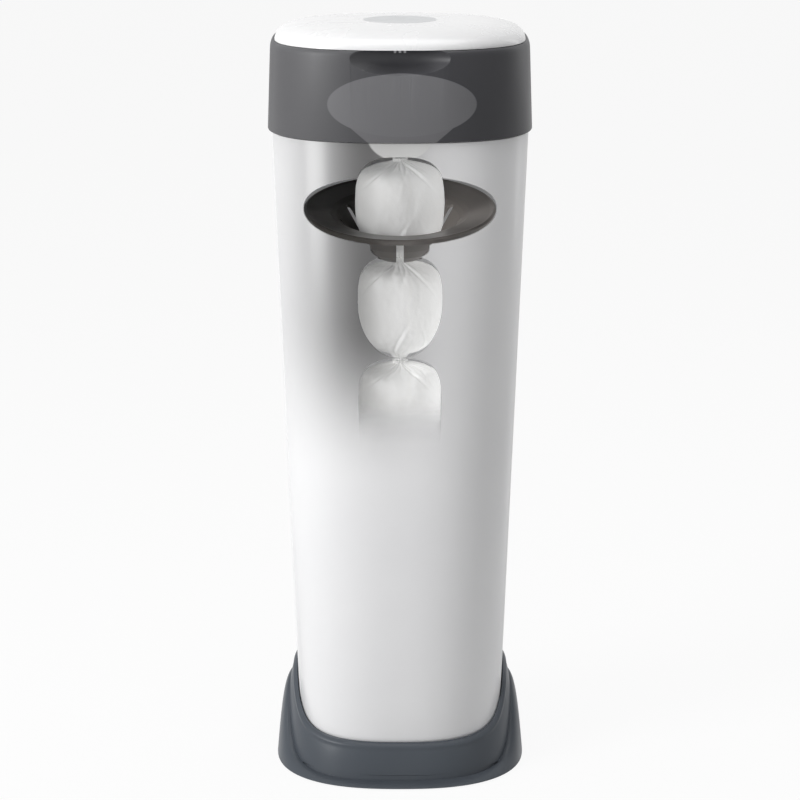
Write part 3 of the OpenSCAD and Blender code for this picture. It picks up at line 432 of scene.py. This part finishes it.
# ---------------------------------------------------------------- rear shell
# The back and both flanks of the tapered body in glossy white plastic. One moulding, with a
# tongue behind each side seam and four posts at its foot for the screws from the base.

def face_out(piece):
    mesh = piece.data
    total = sum(p.area * (p.normal.x * p.center.x + p.normal.y * p.center.y) for p in mesh.polygons)
    if total < 0:
        mesh.flip_normals()


def slice_off(piece, y, keep):
    only(piece)
    bpy.ops.object.mode_set(mode="EDIT")
    bpy.ops.mesh.select_all(action="SELECT")
    bpy.ops.mesh.bisect(plane_co=(0, y * mm, 0), plane_no=(0, 1, 0),
                        clear_inner=keep == "behind", clear_outer=keep == "front")
    bpy.ops.object.mode_set(mode="OBJECT")


def thicken(piece, wall):
    face_out(piece)
    only(piece)
    skin = piece.modifiers.new("wall", "SOLIDIFY")
    skin.thickness = wall * mm
    skin.offset = -1
    bpy.ops.object.modifier_apply(modifier=skin.name)


def soften(piece, width, angle):
    only(piece)
    edge = piece.modifiers.new("edge", "BEVEL")
    edge.width = width * mm
    edge.segments = 2
    edge.limit_method = "ANGLE"
    edge.angle_limit = math.radians(angle)
    bpy.ops.object.modifier_apply(modifier=edge.name)


def combine(piece, tool, how):
    only(piece)
    act = piece.modifiers.new("join", "BOOLEAN")
    act.operation = how
    act.solver = "EXACT"
    act.object = tool
    bpy.ops.object.modifier_apply(modifier=act.name)
    bpy.data.objects.remove(tool)


def rod(name, place, radius, long, axis, corners=48):
    turn = {"x": (0, math.pi / 2, 0), "y": (math.pi / 2, 0, 0), "z": (0, 0, 0)}[axis]
    bpy.ops.object.select_all(action="DESELECT")
    bpy.ops.mesh.primitive_cylinder_add(vertices=corners, radius=radius * mm, depth=long * mm,
                                        location=Vector(place) * mm, rotation=turn)
    piece = bpy.context.object
    piece.name = name
    bpy.ops.object.transform_apply(location=True, rotation=True, scale=True)
    return piece


gloss_white = {"low": (0.80, 0.80, 0.81), "high": (0.84, 0.84, 0.845), "rough": (0.28, 0.38),
               "grain_size": 1200.0, "depth": 0.000006, "cloud_size": 6.0}
white_finish = moulded("white_body", **gloss_white)

shell_foot_z, shell_top_z, shell_wall = 8.5, 590, 2.5
shell_seam_y, panel_seam_y = -27.65, -28.35
edge_round, edge_angle = 0.5, 50
rear = loft("rear_wall", [lambda f: body_point(f, shell_foot_z, 0), lambda f: body_point(f, body_top_z, 0),
                          lambda f: (*body_point(f, body_top_z, 0)[:2], shell_top_z)])
slice_off(rear, shell_seam_y, "behind")
thicken(rear, shell_wall)
soften(rear, edge_round, edge_angle)

# The tongue lies inside the panel's edge, and the tie joins it to the wall behind the seam
tongue_low_z, tongue_high_z, tongue_back_y = 62, 529, -22
for name, inset, front_y, wall in (("tongue", 3.0, -34, 2.0), ("tongue_tie", 2.0, -27.6, 2.4)):
    strip = loft(name, [lambda f: body_point(f, tongue_low_z, -inset), lambda f: body_point(f, tongue_high_z, -inset)])
    slice_off(strip, front_y, "behind")
    slice_off(strip, tongue_back_y, "front")
    thicken(strip, wall)
    gather_up(rear, strip)

post_radius, post_tall, post_z = 5.5, 26, 21.5
for side in (-1, 1):
    for x, y in ((62, 45), (79, -8)):
        gather_up(rear, rod("screw_post", (side * x, y, post_z), post_radius, post_tall, "z"))

# Known fault: the strips overlap the wall, so this cut drops some of them, and which ones
# changes from run to run. Made before the strips are joined on, it keeps them all.
button_z, button_hole_radius = 545, 8.35
combine(rear, rod("button_hole", (105, 0, button_z), button_hole_radius, long=50, axis="x", corners=64), "DIFFERENCE")
smooth(rear)
dress(rear, white_finish)
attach(rear, "bin")
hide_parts("rear_shell")


# ---------------------------------------------------------------- front panel
# Tapered glossy white moulding between the side seams, which tilts forward on two ears at
# its foot. Its middle fades to clear, so the ring and the wrapped chain behind it can be seen.

soft_shape, shape_in, shape_out = new_group(
    "soft_shape",
    [("Point", VECTOR, None), ("Middle X", FLOAT, 0.0), ("Middle Z", FLOAT, 0.0), ("Half Width", FLOAT, 1.0),
     ("Half Height", FLOAT, 1.0), ("Half Drop", FLOAT, 1.0), ("Power", FLOAT, 2.0), ("Softness", FLOAT, 0.1)],
    [("Mask", FLOAT)])

# A rounded patch: 1 inside, 0 outside, with its own height above and below its middle
split = soft_shape.nodes.new("ShaderNodeSeparateXYZ")
soft_shape.links.new(shape_in.outputs["Point"], split.inputs[0])
total = None
for axis, half, side in (
        ("X", "Half Width", "ABSOLUTE"), ("Z", "Half Height", "MAXIMUM"), ("Z", "Half Drop", "MINIMUM")):
    off = maths(soft_shape, "SUBTRACT", split.outputs[axis], shape_in.outputs["Middle " + axis])
    off = maths(soft_shape, "DIVIDE", off, shape_in.outputs[half])
    off = maths(soft_shape, side, off, None if side == "ABSOLUTE" else 0.0)
    off = maths(soft_shape, "POWER", maths(soft_shape, "ABSOLUTE", off), shape_in.outputs["Power"])
    total = off if total is None else maths(soft_shape, "ADD", total, off)
soft_edge = soft_shape.nodes.new("ShaderNodeMapRange")
soft_edge.interpolation_type = "SMOOTHSTEP"
soft_edge.inputs["From Min"].default_value = 1
soft_edge.inputs["To Min"].default_value = 1
soft_edge.inputs["To Max"].default_value = 0
outer = maths(soft_shape, "ADD", shape_in.outputs["Softness"], 1.0)
soft_shape.links.new(total, soft_edge.inputs["Value"])
soft_shape.links.new(outer, soft_edge.inputs["From Max"])
soft_shape.links.new(soft_edge.outputs[0], shape_out.inputs["Mask"])


def shape_mask(finish, x, z, wide, tall, drop, power, soft):
    shape = finish.group(soft_shape, **{
        "Middle X": x * mm, "Middle Z": z * mm, "Half Width": wide * mm, "Half Height": tall * mm,
        "Half Drop": drop * mm, "Power": power, "Softness": soft})
    return shape.outputs[0]


def blend_to(finish, level, colour):
    plain = finish.shader.inputs["Base Color"].links[0].from_socket
    mix = finish.node("ShaderNodeMix", data_type="RGBA")
    mix.inputs[7].default_value = (*colour, 1)
    finish.link(level, mix.inputs[0])
    finish.link(plain, mix.inputs[6])
    finish.link(mix.outputs[2], finish.shader.inputs["Base Color"])


def place_on(finish):
    place = finish.node("ShaderNodeSeparateXYZ")
    finish.link(finish.coords.outputs["Object"], place.inputs[0])
    return place.outputs


def ramp(finish, along, start, end):
    made = finish.node("ShaderNodeMapRange", interpolation_type="SMOOTHSTEP")
    made.inputs["From Min"].default_value = start
    made.inputs["From Max"].default_value = end
    finish.link(along, made.inputs["Value"])
    return made.outputs[0]


def hump(finish, along, middle, left, right):
    off = finish.maths("SUBTRACT", along, middle)
    near = finish.maths("DIVIDE", finish.maths("MINIMUM", off, 0.0), left)
    far = finish.maths("DIVIDE", finish.maths("MAXIMUM", off, 0.0), right)
    both = finish.maths("ADD", finish.maths("POWER", finish.maths("ABSOLUTE", near), 2.0),
                        finish.maths("POWER", far, 2.0))
    return finish.maths("EXPONENT", finish.maths("MULTIPLY", both, -1.0))


panel_finish = moulded("white_panel", **gloss_white)
panel_place = place_on(panel_finish)
clear = None
for row in (
        # middle x, middle z, half width, half height, half drop, power, softness
        (0.0, 507.5, 80.0, 31.5, 27.2, 2.2, 0.03),  # dish of the grip ring
        (0.0, 515.0, 36.7, 39.0, 39.0, 3.0, 0.05),  # top bag
        (0.0, 478.0, 24.0, 14.0, 9.8, 2.4, 0.10),  # fingers under the dish
        (0.0, 432.0, 35.1, 39.5, 20.0, 3.0, 0.05),  # middle bag, its upper part
        (0.0, 432.0, 35.1, 20.0, 48.0, 2.1, 0.05),  # middle bag, its lower part
        (0.0, 345.0, 34.6, 38.0, 80.0, 3.0, 0.06)):  # bottom bag
    patch = shape_mask(panel_finish, *row)
    clear = patch if clear is None else panel_finish.maths("MAXIMUM", clear, patch)

# The clear part ends over the bottom bag in a fade that is broken up by a fine grain
fade_low, fade_high, fade_grain = 0.306, 0.350, 1.6
fading = ramp(panel_finish, panel_place["Z"], fade_low, fade_high)
specks = panel_finish.node("ShaderNodeTexWhiteNoise", noise_dimensions="3D")
panel_finish.link(panel_finish.coords.outputs["Object"], specks.inputs["Vector"])
part_way = panel_finish.maths("MULTIPLY", fading, panel_finish.maths("SUBTRACT", 1.0, fading))
broken = panel_finish.maths("MULTIPLY", panel_finish.maths("MULTIPLY", part_way, fade_grain),
                            panel_finish.maths("SUBTRACT", specks.outputs["Value"], 0.5))
clear = panel_finish.maths("MULTIPLY", clear, panel_finish.maths("ADD", fading, broken))

# A soft shade is painted on the panel to the left of the chain, and a pale cone under the head
painted_shade_middle, painted_shade_left, painted_shade_right, painted_shade_depth = -0.024, 0.064, 0.043, 0.87
painted_shade = panel_finish.maths(
    "MULTIPLY", hump(panel_finish, panel_place["X"], painted_shade_middle, painted_shade_left, painted_shade_right), painted_shade_depth)
painted_shade = panel_finish.maths("MULTIPLY", painted_shade, ramp(panel_finish, panel_place["Z"], 0.269, 0.419))
blend_to(panel_finish, painted_shade, (0.012, 0.011, 0.010))
pale_cone = shape_mask(panel_finish, 0.0, 572.0, 26.0, 20.0, 20.0, 2.0, 0.15)
blend_to(panel_finish, panel_finish.maths("MULTIPLY", pale_cone, 0.8), (0.66, 0.66, 0.65))

# Light passes through the panel, so that the chain behind it is lit
rays = panel_finish.node("ShaderNodeLightPath").outputs
passed = panel_finish.maths("MAXIMUM", rays["Is Shadow Ray"], rays["Is Diffuse Ray"])
solid = panel_finish.maths("MULTIPLY", panel_finish.maths("SUBTRACT", 1.0, clear),
                           panel_finish.maths("SUBTRACT", 1.0, passed))
panel_finish.link(solid, panel_finish.shader.inputs["Alpha"])

panel_top_z = 565.7
panel = loft("front_panel", [lambda f: body_point(f, rim_z(f) - 4, 0), lambda f: body_point(f, 300, 0),
                             lambda f: body_point(f, panel_top_z, 0)])
slice_off(panel, panel_seam_y, "front")
thicken(panel, shell_wall)
soften(panel, edge_round, edge_angle)
flange_inset, flange_wide, flange_thick, flange_end_y = 2.2, 7.3, 2.5, -36
flange = loft("top_flange", [lambda f: body_point(f, panel_top_z - flange_thick, -flange_inset),
                             lambda f: body_point(f, panel_top_z, -flange_inset)])
slice_off(flange, flange_end_y, "front")
thicken(flange, flange_wide)
gather_up(panel, flange)
ear_x, ear_thick = 48.5, 5
ear_points = [(hinge_y + y, hinge_z + z) for y, z in (
    (7, 0), (5, 5), (0, 7), (-17.6, 13.6), (-17.6, -6.6), (-6, -6), (-4, -18), (4, -18), (4, -6))]
for side in (-1, 1):
    gather_up(panel, plate("ear", side * ear_x - ear_thick / 2, ear_thick, ear_points))
smooth(panel)
dress(panel, panel_finish)
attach(panel, "door")
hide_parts("door_panel")


# ---------------------------------------------------------------- head collar
# Dark grey fine-grained plastic band, moulded in one and set over the top of the body. It
# has a rolled shoulder under the lid and a scoop at the front for a finger under the lip.

collar_finish = moulded("collar_plastic", low=(0.036, 0.036, 0.041), high=(0.044, 0.044, 0.049),
                        rough=(0.42, 0.50), grain_size=800.0, depth=0.00004)
collar_finish.set("Specular IOR Level", 0.3)
collar_place = place_on(collar_finish)

# A painted highlight makes the left of the band's front a little paler
painted_highlight = collar_finish.maths("MULTIPLY", hump(collar_finish, collar_place["X"], -0.082, 0.034, 0.055), 0.72)
painted_highlight = collar_finish.maths("MULTIPLY", painted_highlight, ramp(collar_finish, collar_place["Y"], 0.0, -0.05))
blend_to(collar_finish, painted_highlight, (0.120, 0.120, 0.125))

# The film funnel shows through the front of the band as a paler dish over a cone
ghost_x, ghost_strength = 1.6, 0.85
cone_slope, cone_lift, cone_top_z, cone_edge, cone_share = 1.2, -0.6518, 0.592, 0.0006, 0.9
front_only_y = -0.06
ghost_dish = shape_mask(collar_finish, ghost_x, 597.0, 60.5, 25.5, 25.5, 2.0, 0.05)
cone_half = collar_finish.maths("ADD", collar_finish.maths("MULTIPLY", collar_place["Z"], cone_slope), cone_lift)
cone_off = collar_finish.maths("ABSOLUTE", collar_finish.maths("ADD", collar_place["X"], -ghost_x * mm))
ghost_cone = ramp(collar_finish, collar_finish.maths("SUBTRACT", cone_half, cone_off), -cone_edge, cone_edge)
below_dish = collar_finish.maths("LESS_THAN", collar_place["Z"], cone_top_z)
in_front = collar_finish.maths("LESS_THAN", collar_place["Y"], front_only_y)
ghost_cone = collar_finish.maths("MULTIPLY", collar_finish.maths("MULTIPLY", ghost_cone, below_dish), cone_share)
ghost = collar_finish.maths("MULTIPLY", collar_finish.maths("MAXIMUM", ghost_dish, ghost_cone), in_front)
blend_to(collar_finish, collar_finish.maths("MULTIPLY", ghost, ghost_strength), (0.168, 0.168, 0.176))

collar_half_low, collar_half_top = 112.6, 110.2
collar_foot_z, collar_ledge_z, collar_bend_z = 566.4, 592, 632
lid_half_x, lid_half_y = 106.2, 92.976
line_low, line_lift, line_turn, line_soft = 640.8, 5.2, 20, 15
head_square = 2.5


# Height of the shut line between band and lid, which climbs towards the hinge
def lid_line(f):
    return line_low + line_lift * rise(outline(f, lid_half_x, lid_half_y, head_square)[1], line_turn, line_soft)


def collar_point(f, z, half_x, half_y):
    return (*outline(f, half_x, half_y, head_square), z)


# Rings from the foot of the band up its outside, over the shoulder and down the inside
def collar_rings():
    low_x, low_y = collar_half_low, collar_half_low * depth_share
    top_x, top_y = collar_half_top, collar_half_top * depth_share
    rings = [lambda f: collar_point(f, collar_foot_z, low_x - 0.9, low_y - 0.9),
             lambda f: collar_point(f, collar_foot_z + 0.3, low_x - 0.3, low_y - 0.3),
             lambda f: collar_point(f, collar_foot_z + 1, low_x, low_y),
             lambda f: collar_point(f, collar_bend_z, top_x, top_y)]
    for turn in range(10, 100, 10):
        rings.append(lambda f, t=math.radians(turn): collar_point(
            f, (lid_line(f) - 6) + 6 * math.sin(t), top_x - 0.2 - 3.2 * (1 - math.cos(t)),
            top_y - 0.2 - 2.8 * (1 - math.cos(t))))
    rings += [lambda f: collar_point(f, lid_line(f), top_x - 6.2, top_y - 6),
              lambda f: collar_point(f, collar_bend_z, top_x - 2.6, top_y - 2.6),
              lambda f: collar_point(f, 617, top_x - 2.6, top_y - 2.6),
              lambda f: (*body_point(f, body_top_z, 0.1)[:2], collar_ledge_z),
              lambda f: (*body_point(f, body_top_z, 0.1)[:2], collar_foot_z),
              rings[0]]
    return rings


def flat_ball(name, place, wide, tall):
    bpy.ops.object.select_all(action="DESELECT")
    bpy.ops.mesh.primitive_uv_sphere_add(segments=192, ring_count=96, radius=1, location=Vector(place) * mm,
                                         scale=(wide * mm, wide * mm, tall * mm))
    piece = bpy.context.object
    piece.name = name
    bpy.ops.object.transform_apply(location=True, rotation=True, scale=True)
    return piece


scoop_wide, scoop_tall, scoop_deep, scoop_wall, scoop_z = 84, 24.83, 14.4, 2.2, 635.1
scoop_at = (0, scoop_deep - depth_share * collar_half_top - scoop_wide, scoop_z)
pin_y, pin_z, hinge_room_long = 85.976, 645, 116.4
collar = loft("collar_band", collar_rings(), joined=True)
bowl = flat_ball("bowl", scoop_at, scoop_wide + scoop_wall, scoop_tall + scoop_wall)
inside = loft("collar_core", [lambda f: collar_point(f, 614, 109.0, 95.8),
                              lambda f: collar_point(f, collar_bend_z, 109.0, 95.8),
                              lambda f: collar_point(f, lid_line(f), 106.0, 92.8)], ends=True)
combine(bowl, inside, "INTERSECT")
combine(collar, bowl, "UNION")
combine(collar, flat_ball("scoop", scoop_at, scoop_wide, scoop_tall), "DIFFERENCE")

# Room at the back for the hinge barrel and for the lid's edge as it swings
hinge_room = rod("hinge_room", (0, pin_y, pin_z), radius=7.8, long=hinge_room_long, axis="x", corners=64)
combine(collar, hinge_room, "DIFFERENCE")
bpy.ops.object.select_all(action="DESELECT")
bpy.ops.mesh.primitive_cube_add(size=1, location=(0, (pin_y + 6) * mm, (pin_z + 3.5) * mm),
                                scale=((hinge_room_long - 4) * mm, 20 * mm, 10 * mm))
swing_room = bpy.context.object
bpy.ops.object.transform_apply(location=True, rotation=True, scale=True)
combine(collar, swing_room, "DIFFERENCE")
soften(collar, 0.35, 45)
smooth(collar)
dress(collar, collar_finish)
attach(collar, "bin")
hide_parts("head_collar")


# ---------------------------------------------------------------- lid
# White domed cover in one glossy moulding, with a thin rolled edge, a hinge barrel at the
# back that turns on a steel pin, and a shallow round seat at its crown.

lid_finish = moulded("white_lid", low=(0.83, 0.83, 0.835), high=(0.86, 0.86, 0.865),
                     rough=(0.22, 0.32), grain_size=1200.0, depth=0.000005, cloud_size=6.0)
lid_top_z, lid_wall = 657, 2.4


def dome_point(f, s, inset=0.0, drop=0.0):
    low = lid_line(f) + 0.5
    x, y = outline(f, (lid_half_x - inset) * s, (lid_half_y - inset) * s, head_square)
    return x, y, low + (lid_top_z - low) * math.sqrt(max(0, 1 - s ** 5)) - drop


def edge_point(f, inset, lift):
    return (*dome_point(f, 1, inset)[:2], lid_line(f) + lift)


# Shares of the half width, close together where the dome rolls over at its edge
def dome_shares():
    lifts = [0, 0.06, 0.13, 0.21, 0.3, 0.4, 0.5, 0.6, 0.7, 0.78, 0.85]
    return [(1 - h * h) ** 0.2 for h in lifts] + [0.7, 0.6, 0.5, 0.4, 0.3, 0.2, 0.1, 0.03]


# Rings from the middle of the inside, out to the edge and over the dome to its crown
lid_rings = [lambda f, s=s: dome_point(f, s, lid_wall, lid_wall) for s in (0.03, 0.3, 0.5, 0.7, 0.85, 0.93, 0.97)]
lid_rings += [lambda f: edge_point(f, lid_wall, 0.7), lambda f: edge_point(f, 0.5, 0.5)]
lid_rings += [lambda f, s=s: dome_point(f, s) for s in dome_shares()]
lid = loft("lid_cover", lid_rings, ends=True)
inlay_radius, inlay_deep, lug_room_x = 31.1, 0.9, 24.3
inlay_seat = rod("inlay_seat", (0, 0, lid_top_z - inlay_deep + 2), inlay_radius, long=4, axis="z", corners=160)
combine(lid, inlay_seat, "DIFFERENCE")
for side in (-1, 1):
    lug_room = rod("lug_room", (side * lug_room_x, pin_y, pin_z), radius=4.2, long=8.4, axis="x", corners=64)
    combine(lid, lug_room, "DIFFERENCE")
gather_up(lid, rod("hinge_barrel", (0, pin_y, pin_z), radius=3.8, long=40, axis="x"))
smooth(lid)
dress(lid, lid_finish)
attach(lid, "lid")
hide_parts("lid_shell")


# ---------------------------------------------------------------- film funnel
# The open end of the film: a thin white plastic sleeve, pulled off the cassette, folded
# over its core and drawn down in pleats to the first twist.

sleeve_round, sleeve_long = 390.0, 88.0
core_radius, pleat_count = 60.5, 36
funnel_points = [  # radius and height, from the fold over the core down to the twist
    (64.6, 586.2), (63.4, 589.2), (61.6, 589.9), (60.4, 588.2), (58.3, 583), (53, 574.9), (48, 570),
    (42.7, 565.8), (33.6, 558.2), (23, 549.1), (13, 542.6), (7.6, 540.2)]


# A smooth line through the points, from t = 0 at the first to t = 1 at the last
def along(points, t):
    place = t * (len(points) - 1)
    k = min(int(place), len(points) - 2)
    u = place - k
    p0, p1, p2, p3 = (points[max(0, min(len(points) - 1, k + d))] for d in (-1, 0, 1, 2))
    return tuple(0.5 * (2 * b + (c - a) * u + (2 * a - 5 * b + 4 * c - d) * u * u + (3 * b - a - 3 * c + d) * u ** 3)
                 for a, b, c, d in zip(p0, p1, p2, p3))


# Each pleat takes up the width that the sleeve has to spare at its radius
def pleated(f, t):
    r, z = along(funnel_points, t)
    spare = (sleeve_round / pleat_count / 2) ** 2 - (math.pi * r / pleat_count) ** 2
    fold = math.sqrt(max(0.04, spare)) / 2 if r < core_radius else 0.1
    uneven = 0.8 + 0.3 * math.sin(3 * f + 1.1) * math.sin(5 * f)
    swirl = 1.5 * (1 - min(r, 61) / 61) ** 1.6
    r += fold * uneven * math.sin(pleat_count * (f + swirl) + 0.8 * math.sin(2 * f))
    return r * math.cos(f), r * math.sin(f), z


funnel_steps = 44
funnel = loft("film_sleeve", [lambda f, t=k / funnel_steps: pleated(f, t) for k in range(funnel_steps + 1)],
              facets=360)
face_out(funnel)
smooth(funnel, 60)
film_finish = moulded("film_white", low=(0.78, 0.79, 0.79), high=(0.86, 0.87, 0.87),
                      rough=(0.26, 0.44), grain_size=160.0, depth=0.0003, cloud_size=24.0, marks_size=60.0)
dress(funnel, film_finish)
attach(funnel, "film_drive")
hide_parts("film_funnel")


# ---------------------------------------------------------------- wrapped nappies
# Three rolled nappies sealed in a chain of white film. Each bag is full in the middle and
# gathered hard at the twist above and below it, with creases that run out from the twist.

bag_profile = [  # radius and share of the height, from the twist below to the twist above
    (5, 0), (6.3, 0.035), (9.5, 0.068), (20, 0.112), (30, 0.185), (35.6, 0.28), (38.0, 0.42), (38.3, 0.6),
    (37.2, 0.76), (33.2, 0.862), (25, 0.918), (13.5, 0.951), (6.6, 0.972), (7.2, 1)]
end_knot = [(0.6, -13), (5.2, -11.6), (7.6, -7.2), (7.2, -3.4), (5.8, -0.8)]
bag_creases = [  # angle, lean and share of the height
    (-2.2, 2.6, 0.86), (-1.1, -2.2, 0.9), (-1.7, 1.4, 0.2), (-0.7, -1.5, 0.16), (2.0, 2.0, 0.8)]


def crumple(point, size, seed):
    return noise.noise(Vector((point[0] * size + seed, point[1] * size - seed, point[2] * size * 0.6)))


# How far the film stands out at a point: gathers by the twists, slack and fine crumples
# between them, and a few long creases
def bag_relief(x, y, z, low, high, seed):
    f = math.atan2(y, x)
    up, down = (high - z) / (high - low), (z - low) / (high - low)
    near_top, near_foot = math.exp(-up / 0.10), math.exp(-down / 0.12)
    wander = 0.5 * crumple((x, y, z), 0.05, seed)
    deep = 0.0
    for count, turn, share, way in ((11, 0.0, 1.0, 1), (17, 1.3, 0.7, -1), (29, 2.1, 0.35, 1)):
        swirl = turn + 1.6 * up * way
        ridge = 1 - abs(math.sin(count * 0.5 * (f + swirl) + 3 * wander))
        deep += share * ridge ** 2
    gathers = 1.15 * deep * (near_top + near_foot)
    slack = 1.5 * crumple((x, y, z), 0.028, seed) + 0.7 * crumple((x, y, z), 0.07, seed + 5)
    fine = 0.22 * crumple((x, y, z), 0.24, seed + 9)
    creases = 0.0
    for angle, lean, height in bag_creases:
        off = (f - angle - lean * (down - height) + math.pi) % (2 * math.pi) - math.pi
        reach = math.exp(-((down - height) / 0.17) ** 2)
        creases += reach * (math.exp(-(off / 0.045) ** 2) - 0.6 * math.exp(-((off - 0.09) / 0.06) ** 2))
    middle = 1 - max(near_top, near_foot)
    return (-gathers + slack * middle + fine - 0.9 * creases) * mm


def round_point(points, f, t):
    r, z = along(points, t)
    return r * math.cos(f), r * math.sin(f), z


def film_bag(name, low, high, swell, seed, knot):
    points = [(r * (swell if r > 10 else 1), low + t * (high - low)) for r, t in bag_profile]
    if knot:
        points = [(r, low + z) for r, z in end_knot] + points
    steps = 120
    bag = loft(name, [lambda f, t=k / steps: round_point(points, f, t) for k in range(steps + 1)],
               facets=256, ends=True)
    mesh = bag.data
    offs = [bag_relief(*(v.co / mm), low, high, seed) for v in mesh.vertices]
    outs = [v.normal.copy() for v in mesh.vertices]
    for v, off, out in zip(mesh.vertices, offs, outs):
        radius = Vector((v.co.x, v.co.y, 0)).length
        v.co += out * max(off, -0.22 * radius)
    smooth(bag, 60)
    return bag


wrapped_finish = moulded("film_wrap", low=(0.80, 0.80, 0.79), high=(0.88, 0.88, 0.875),
                         rough=(0.46, 0.62), grain_size=130.0, depth=0.0004, cloud_size=26.0, marks_size=50.0)
wrapped_finish.set("Subsurface Weight", 0.25)
wrapped_finish.set("Subsurface Radius", (1, 1, 1))
wrapped_finish.set("Subsurface Scale", 0.015)

wrapped_place = place_on(wrapped_finish)
top_twist_z, upper_twist_z, lower_twist_z, chain_end_z = 539.3, 452.6, 361.1, 282.0

# Painted light: the film glows a little on the right, and a painted shade darkens its left, more so below the top bag
painted_glow_side = ramp(wrapped_finish, wrapped_place["X"], -0.012, 0.036)
wrapped_finish.link(wrapped_finish.colours(painted_glow_side, (0.15, 0.15, 0.15), (1, 1, 0.99)),
                    wrapped_finish.shader.inputs["Emission Color"])
wrapped_finish.set("Emission Strength", 0.40)
painted_film_shade = hump(wrapped_finish, wrapped_place["X"], -0.036, 0.030, 0.028)
lower_bags = wrapped_finish.maths("LESS_THAN", wrapped_place["Z"], upper_twist_z * mm)
painted_film_shade_depth = wrapped_finish.maths("ADD", wrapped_finish.maths("MULTIPLY", lower_bags, 0.24), 0.50)
blend_to(wrapped_finish, wrapped_finish.maths("MULTIPLY", painted_film_shade, painted_film_shade_depth), (0.10, 0.098, 0.094))

for name, low, high, swell, seed, knot in (
        ("nappy_bag_top", upper_twist_z, top_twist_z, 1.0, 3.0, False),
        ("nappy_bag_middle", lower_twist_z, upper_twist_z, 0.955, 17.0, False),
        ("nappy_bag_bottom", chain_end_z, lower_twist_z, 0.94, 31.0, True)):
    bag = film_bag("wrapped_" + name.split("_")[2], low, high, swell, seed, knot)
    dress(bag, wrapped_finish)
    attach(bag, "bin")
    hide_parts(name)


# ---------------------------------------------------------------- other fitted parts
# Mouldings, stored film, rubber and steel parts in the head, the body and the base, screwed,
# clipped or pinned in place. Each has the finish of what it is made of, with painted light on
# the grip ring's dish.


def dress_node(name, finish):
    for place in nodes[name].material_slots:
        place.material = finish.material


dark_finish = moulded("dark_plastic", low=(0.085, 0.085, 0.094), high=(0.098, 0.098, 0.107),
                      rough=(0.42, 0.52), grain_size=800.0, depth=0.00004)
grip_finish = moulded("grip_plastic", low=(0.026, 0.024, 0.021), high=(0.034, 0.031, 0.028),
                      rough=(0.30, 0.42), grain_size=900.0, depth=0.00002)

# Painted light makes the dish paler towards its right, most of all on the far side
grip_place = place_on(grip_finish)
blend_to(grip_finish, ramp(grip_finish, grip_place["X"], -0.060, 0.050), (0.140, 0.128, 0.119))
painted_far_light = grip_finish.maths("MULTIPLY", ramp(grip_finish, grip_place["X"], -0.005, 0.060),
                             ramp(grip_finish, grip_place["Y"], -0.050, 0.005))
blend_to(grip_finish, painted_far_light, (0.36, 0.33, 0.31))

inner_finish = moulded("inner_plastic", low=(0.58, 0.58, 0.59), high=(0.64, 0.64, 0.65),
                       rough=(0.40, 0.50), grain_size=900.0, depth=0.00002)
twist_finish = moulded("twist_plastic", low=(0.12, 0.13, 0.15), high=(0.15, 0.16, 0.18),
                       rough=(0.38, 0.48), grain_size=800.0, depth=0.00003)
cassette_finish = moulded("cassette_plastic", low=(0.76, 0.76, 0.77), high=(0.82, 0.82, 0.83),
                          rough=(0.30, 0.40), grain_size=1100.0, depth=0.00001)
cap_finish = moulded("cap_plastic", low=(0.14, 0.31, 0.47), high=(0.17, 0.35, 0.52),
                     rough=(0.30, 0.40), grain_size=1100.0, depth=0.00001)
inlay_finish = moulded("inlay_plastic", low=(0.56, 0.57, 0.58), high=(0.62, 0.63, 0.64),
                       rough=(0.36, 0.46), grain_size=1000.0, depth=0.00001)
seal_finish = moulded("seal_rubber", low=(0.19, 0.19, 0.20), high=(0.25, 0.25, 0.26),
                      rough=(0.62, 0.76), grain_size=500.0, depth=0.00004)
foot_finish = moulded("foot_rubber", low=(0.018, 0.018, 0.020), high=(0.028, 0.028, 0.030),
                      rough=(0.70, 0.85), grain_size=420.0, depth=0.00006)
steel_finish = moulded("bright_steel", low=(0.50, 0.50, 0.52), high=(0.60, 0.60, 0.62),
                       rough=(0.20, 0.36), grain_size=1500.0, depth=0.000008, cloud_size=40.0, marks_size=160.0)
steel_finish.set("Metallic", 1.0)

for finish, names in (
        (grip_finish, ("grip_ring", "grip_bracket")),
        (inner_finish, ("head_deck", "lid_liner")),
        (twist_finish, ("twist_ring",)),
        (cassette_finish, ("cassette_body",)),
        (cap_finish, ("cassette_cap",)),
        (inlay_finish, ("lid_inlay",)),
        (foot_finish, ("foot_pads",)),
        (steel_finish, ("base_screws", "door_hinge_pins", "bracket_screws", "deck_screws", "lid_hinge_pin",
                        "liner_screws", "cutter_blade", "latch_spring")),
        (film_finish, ("film_pack",)),
        (dark_finish, ("cutter_housing", "latch_housing", "door_keeper")),
        (seal_finish, ("lid_seal", "lid_lip_ribs")),
        (white_finish, ("latch_button",))):
    for name in names:
        dress_node(name, finish)
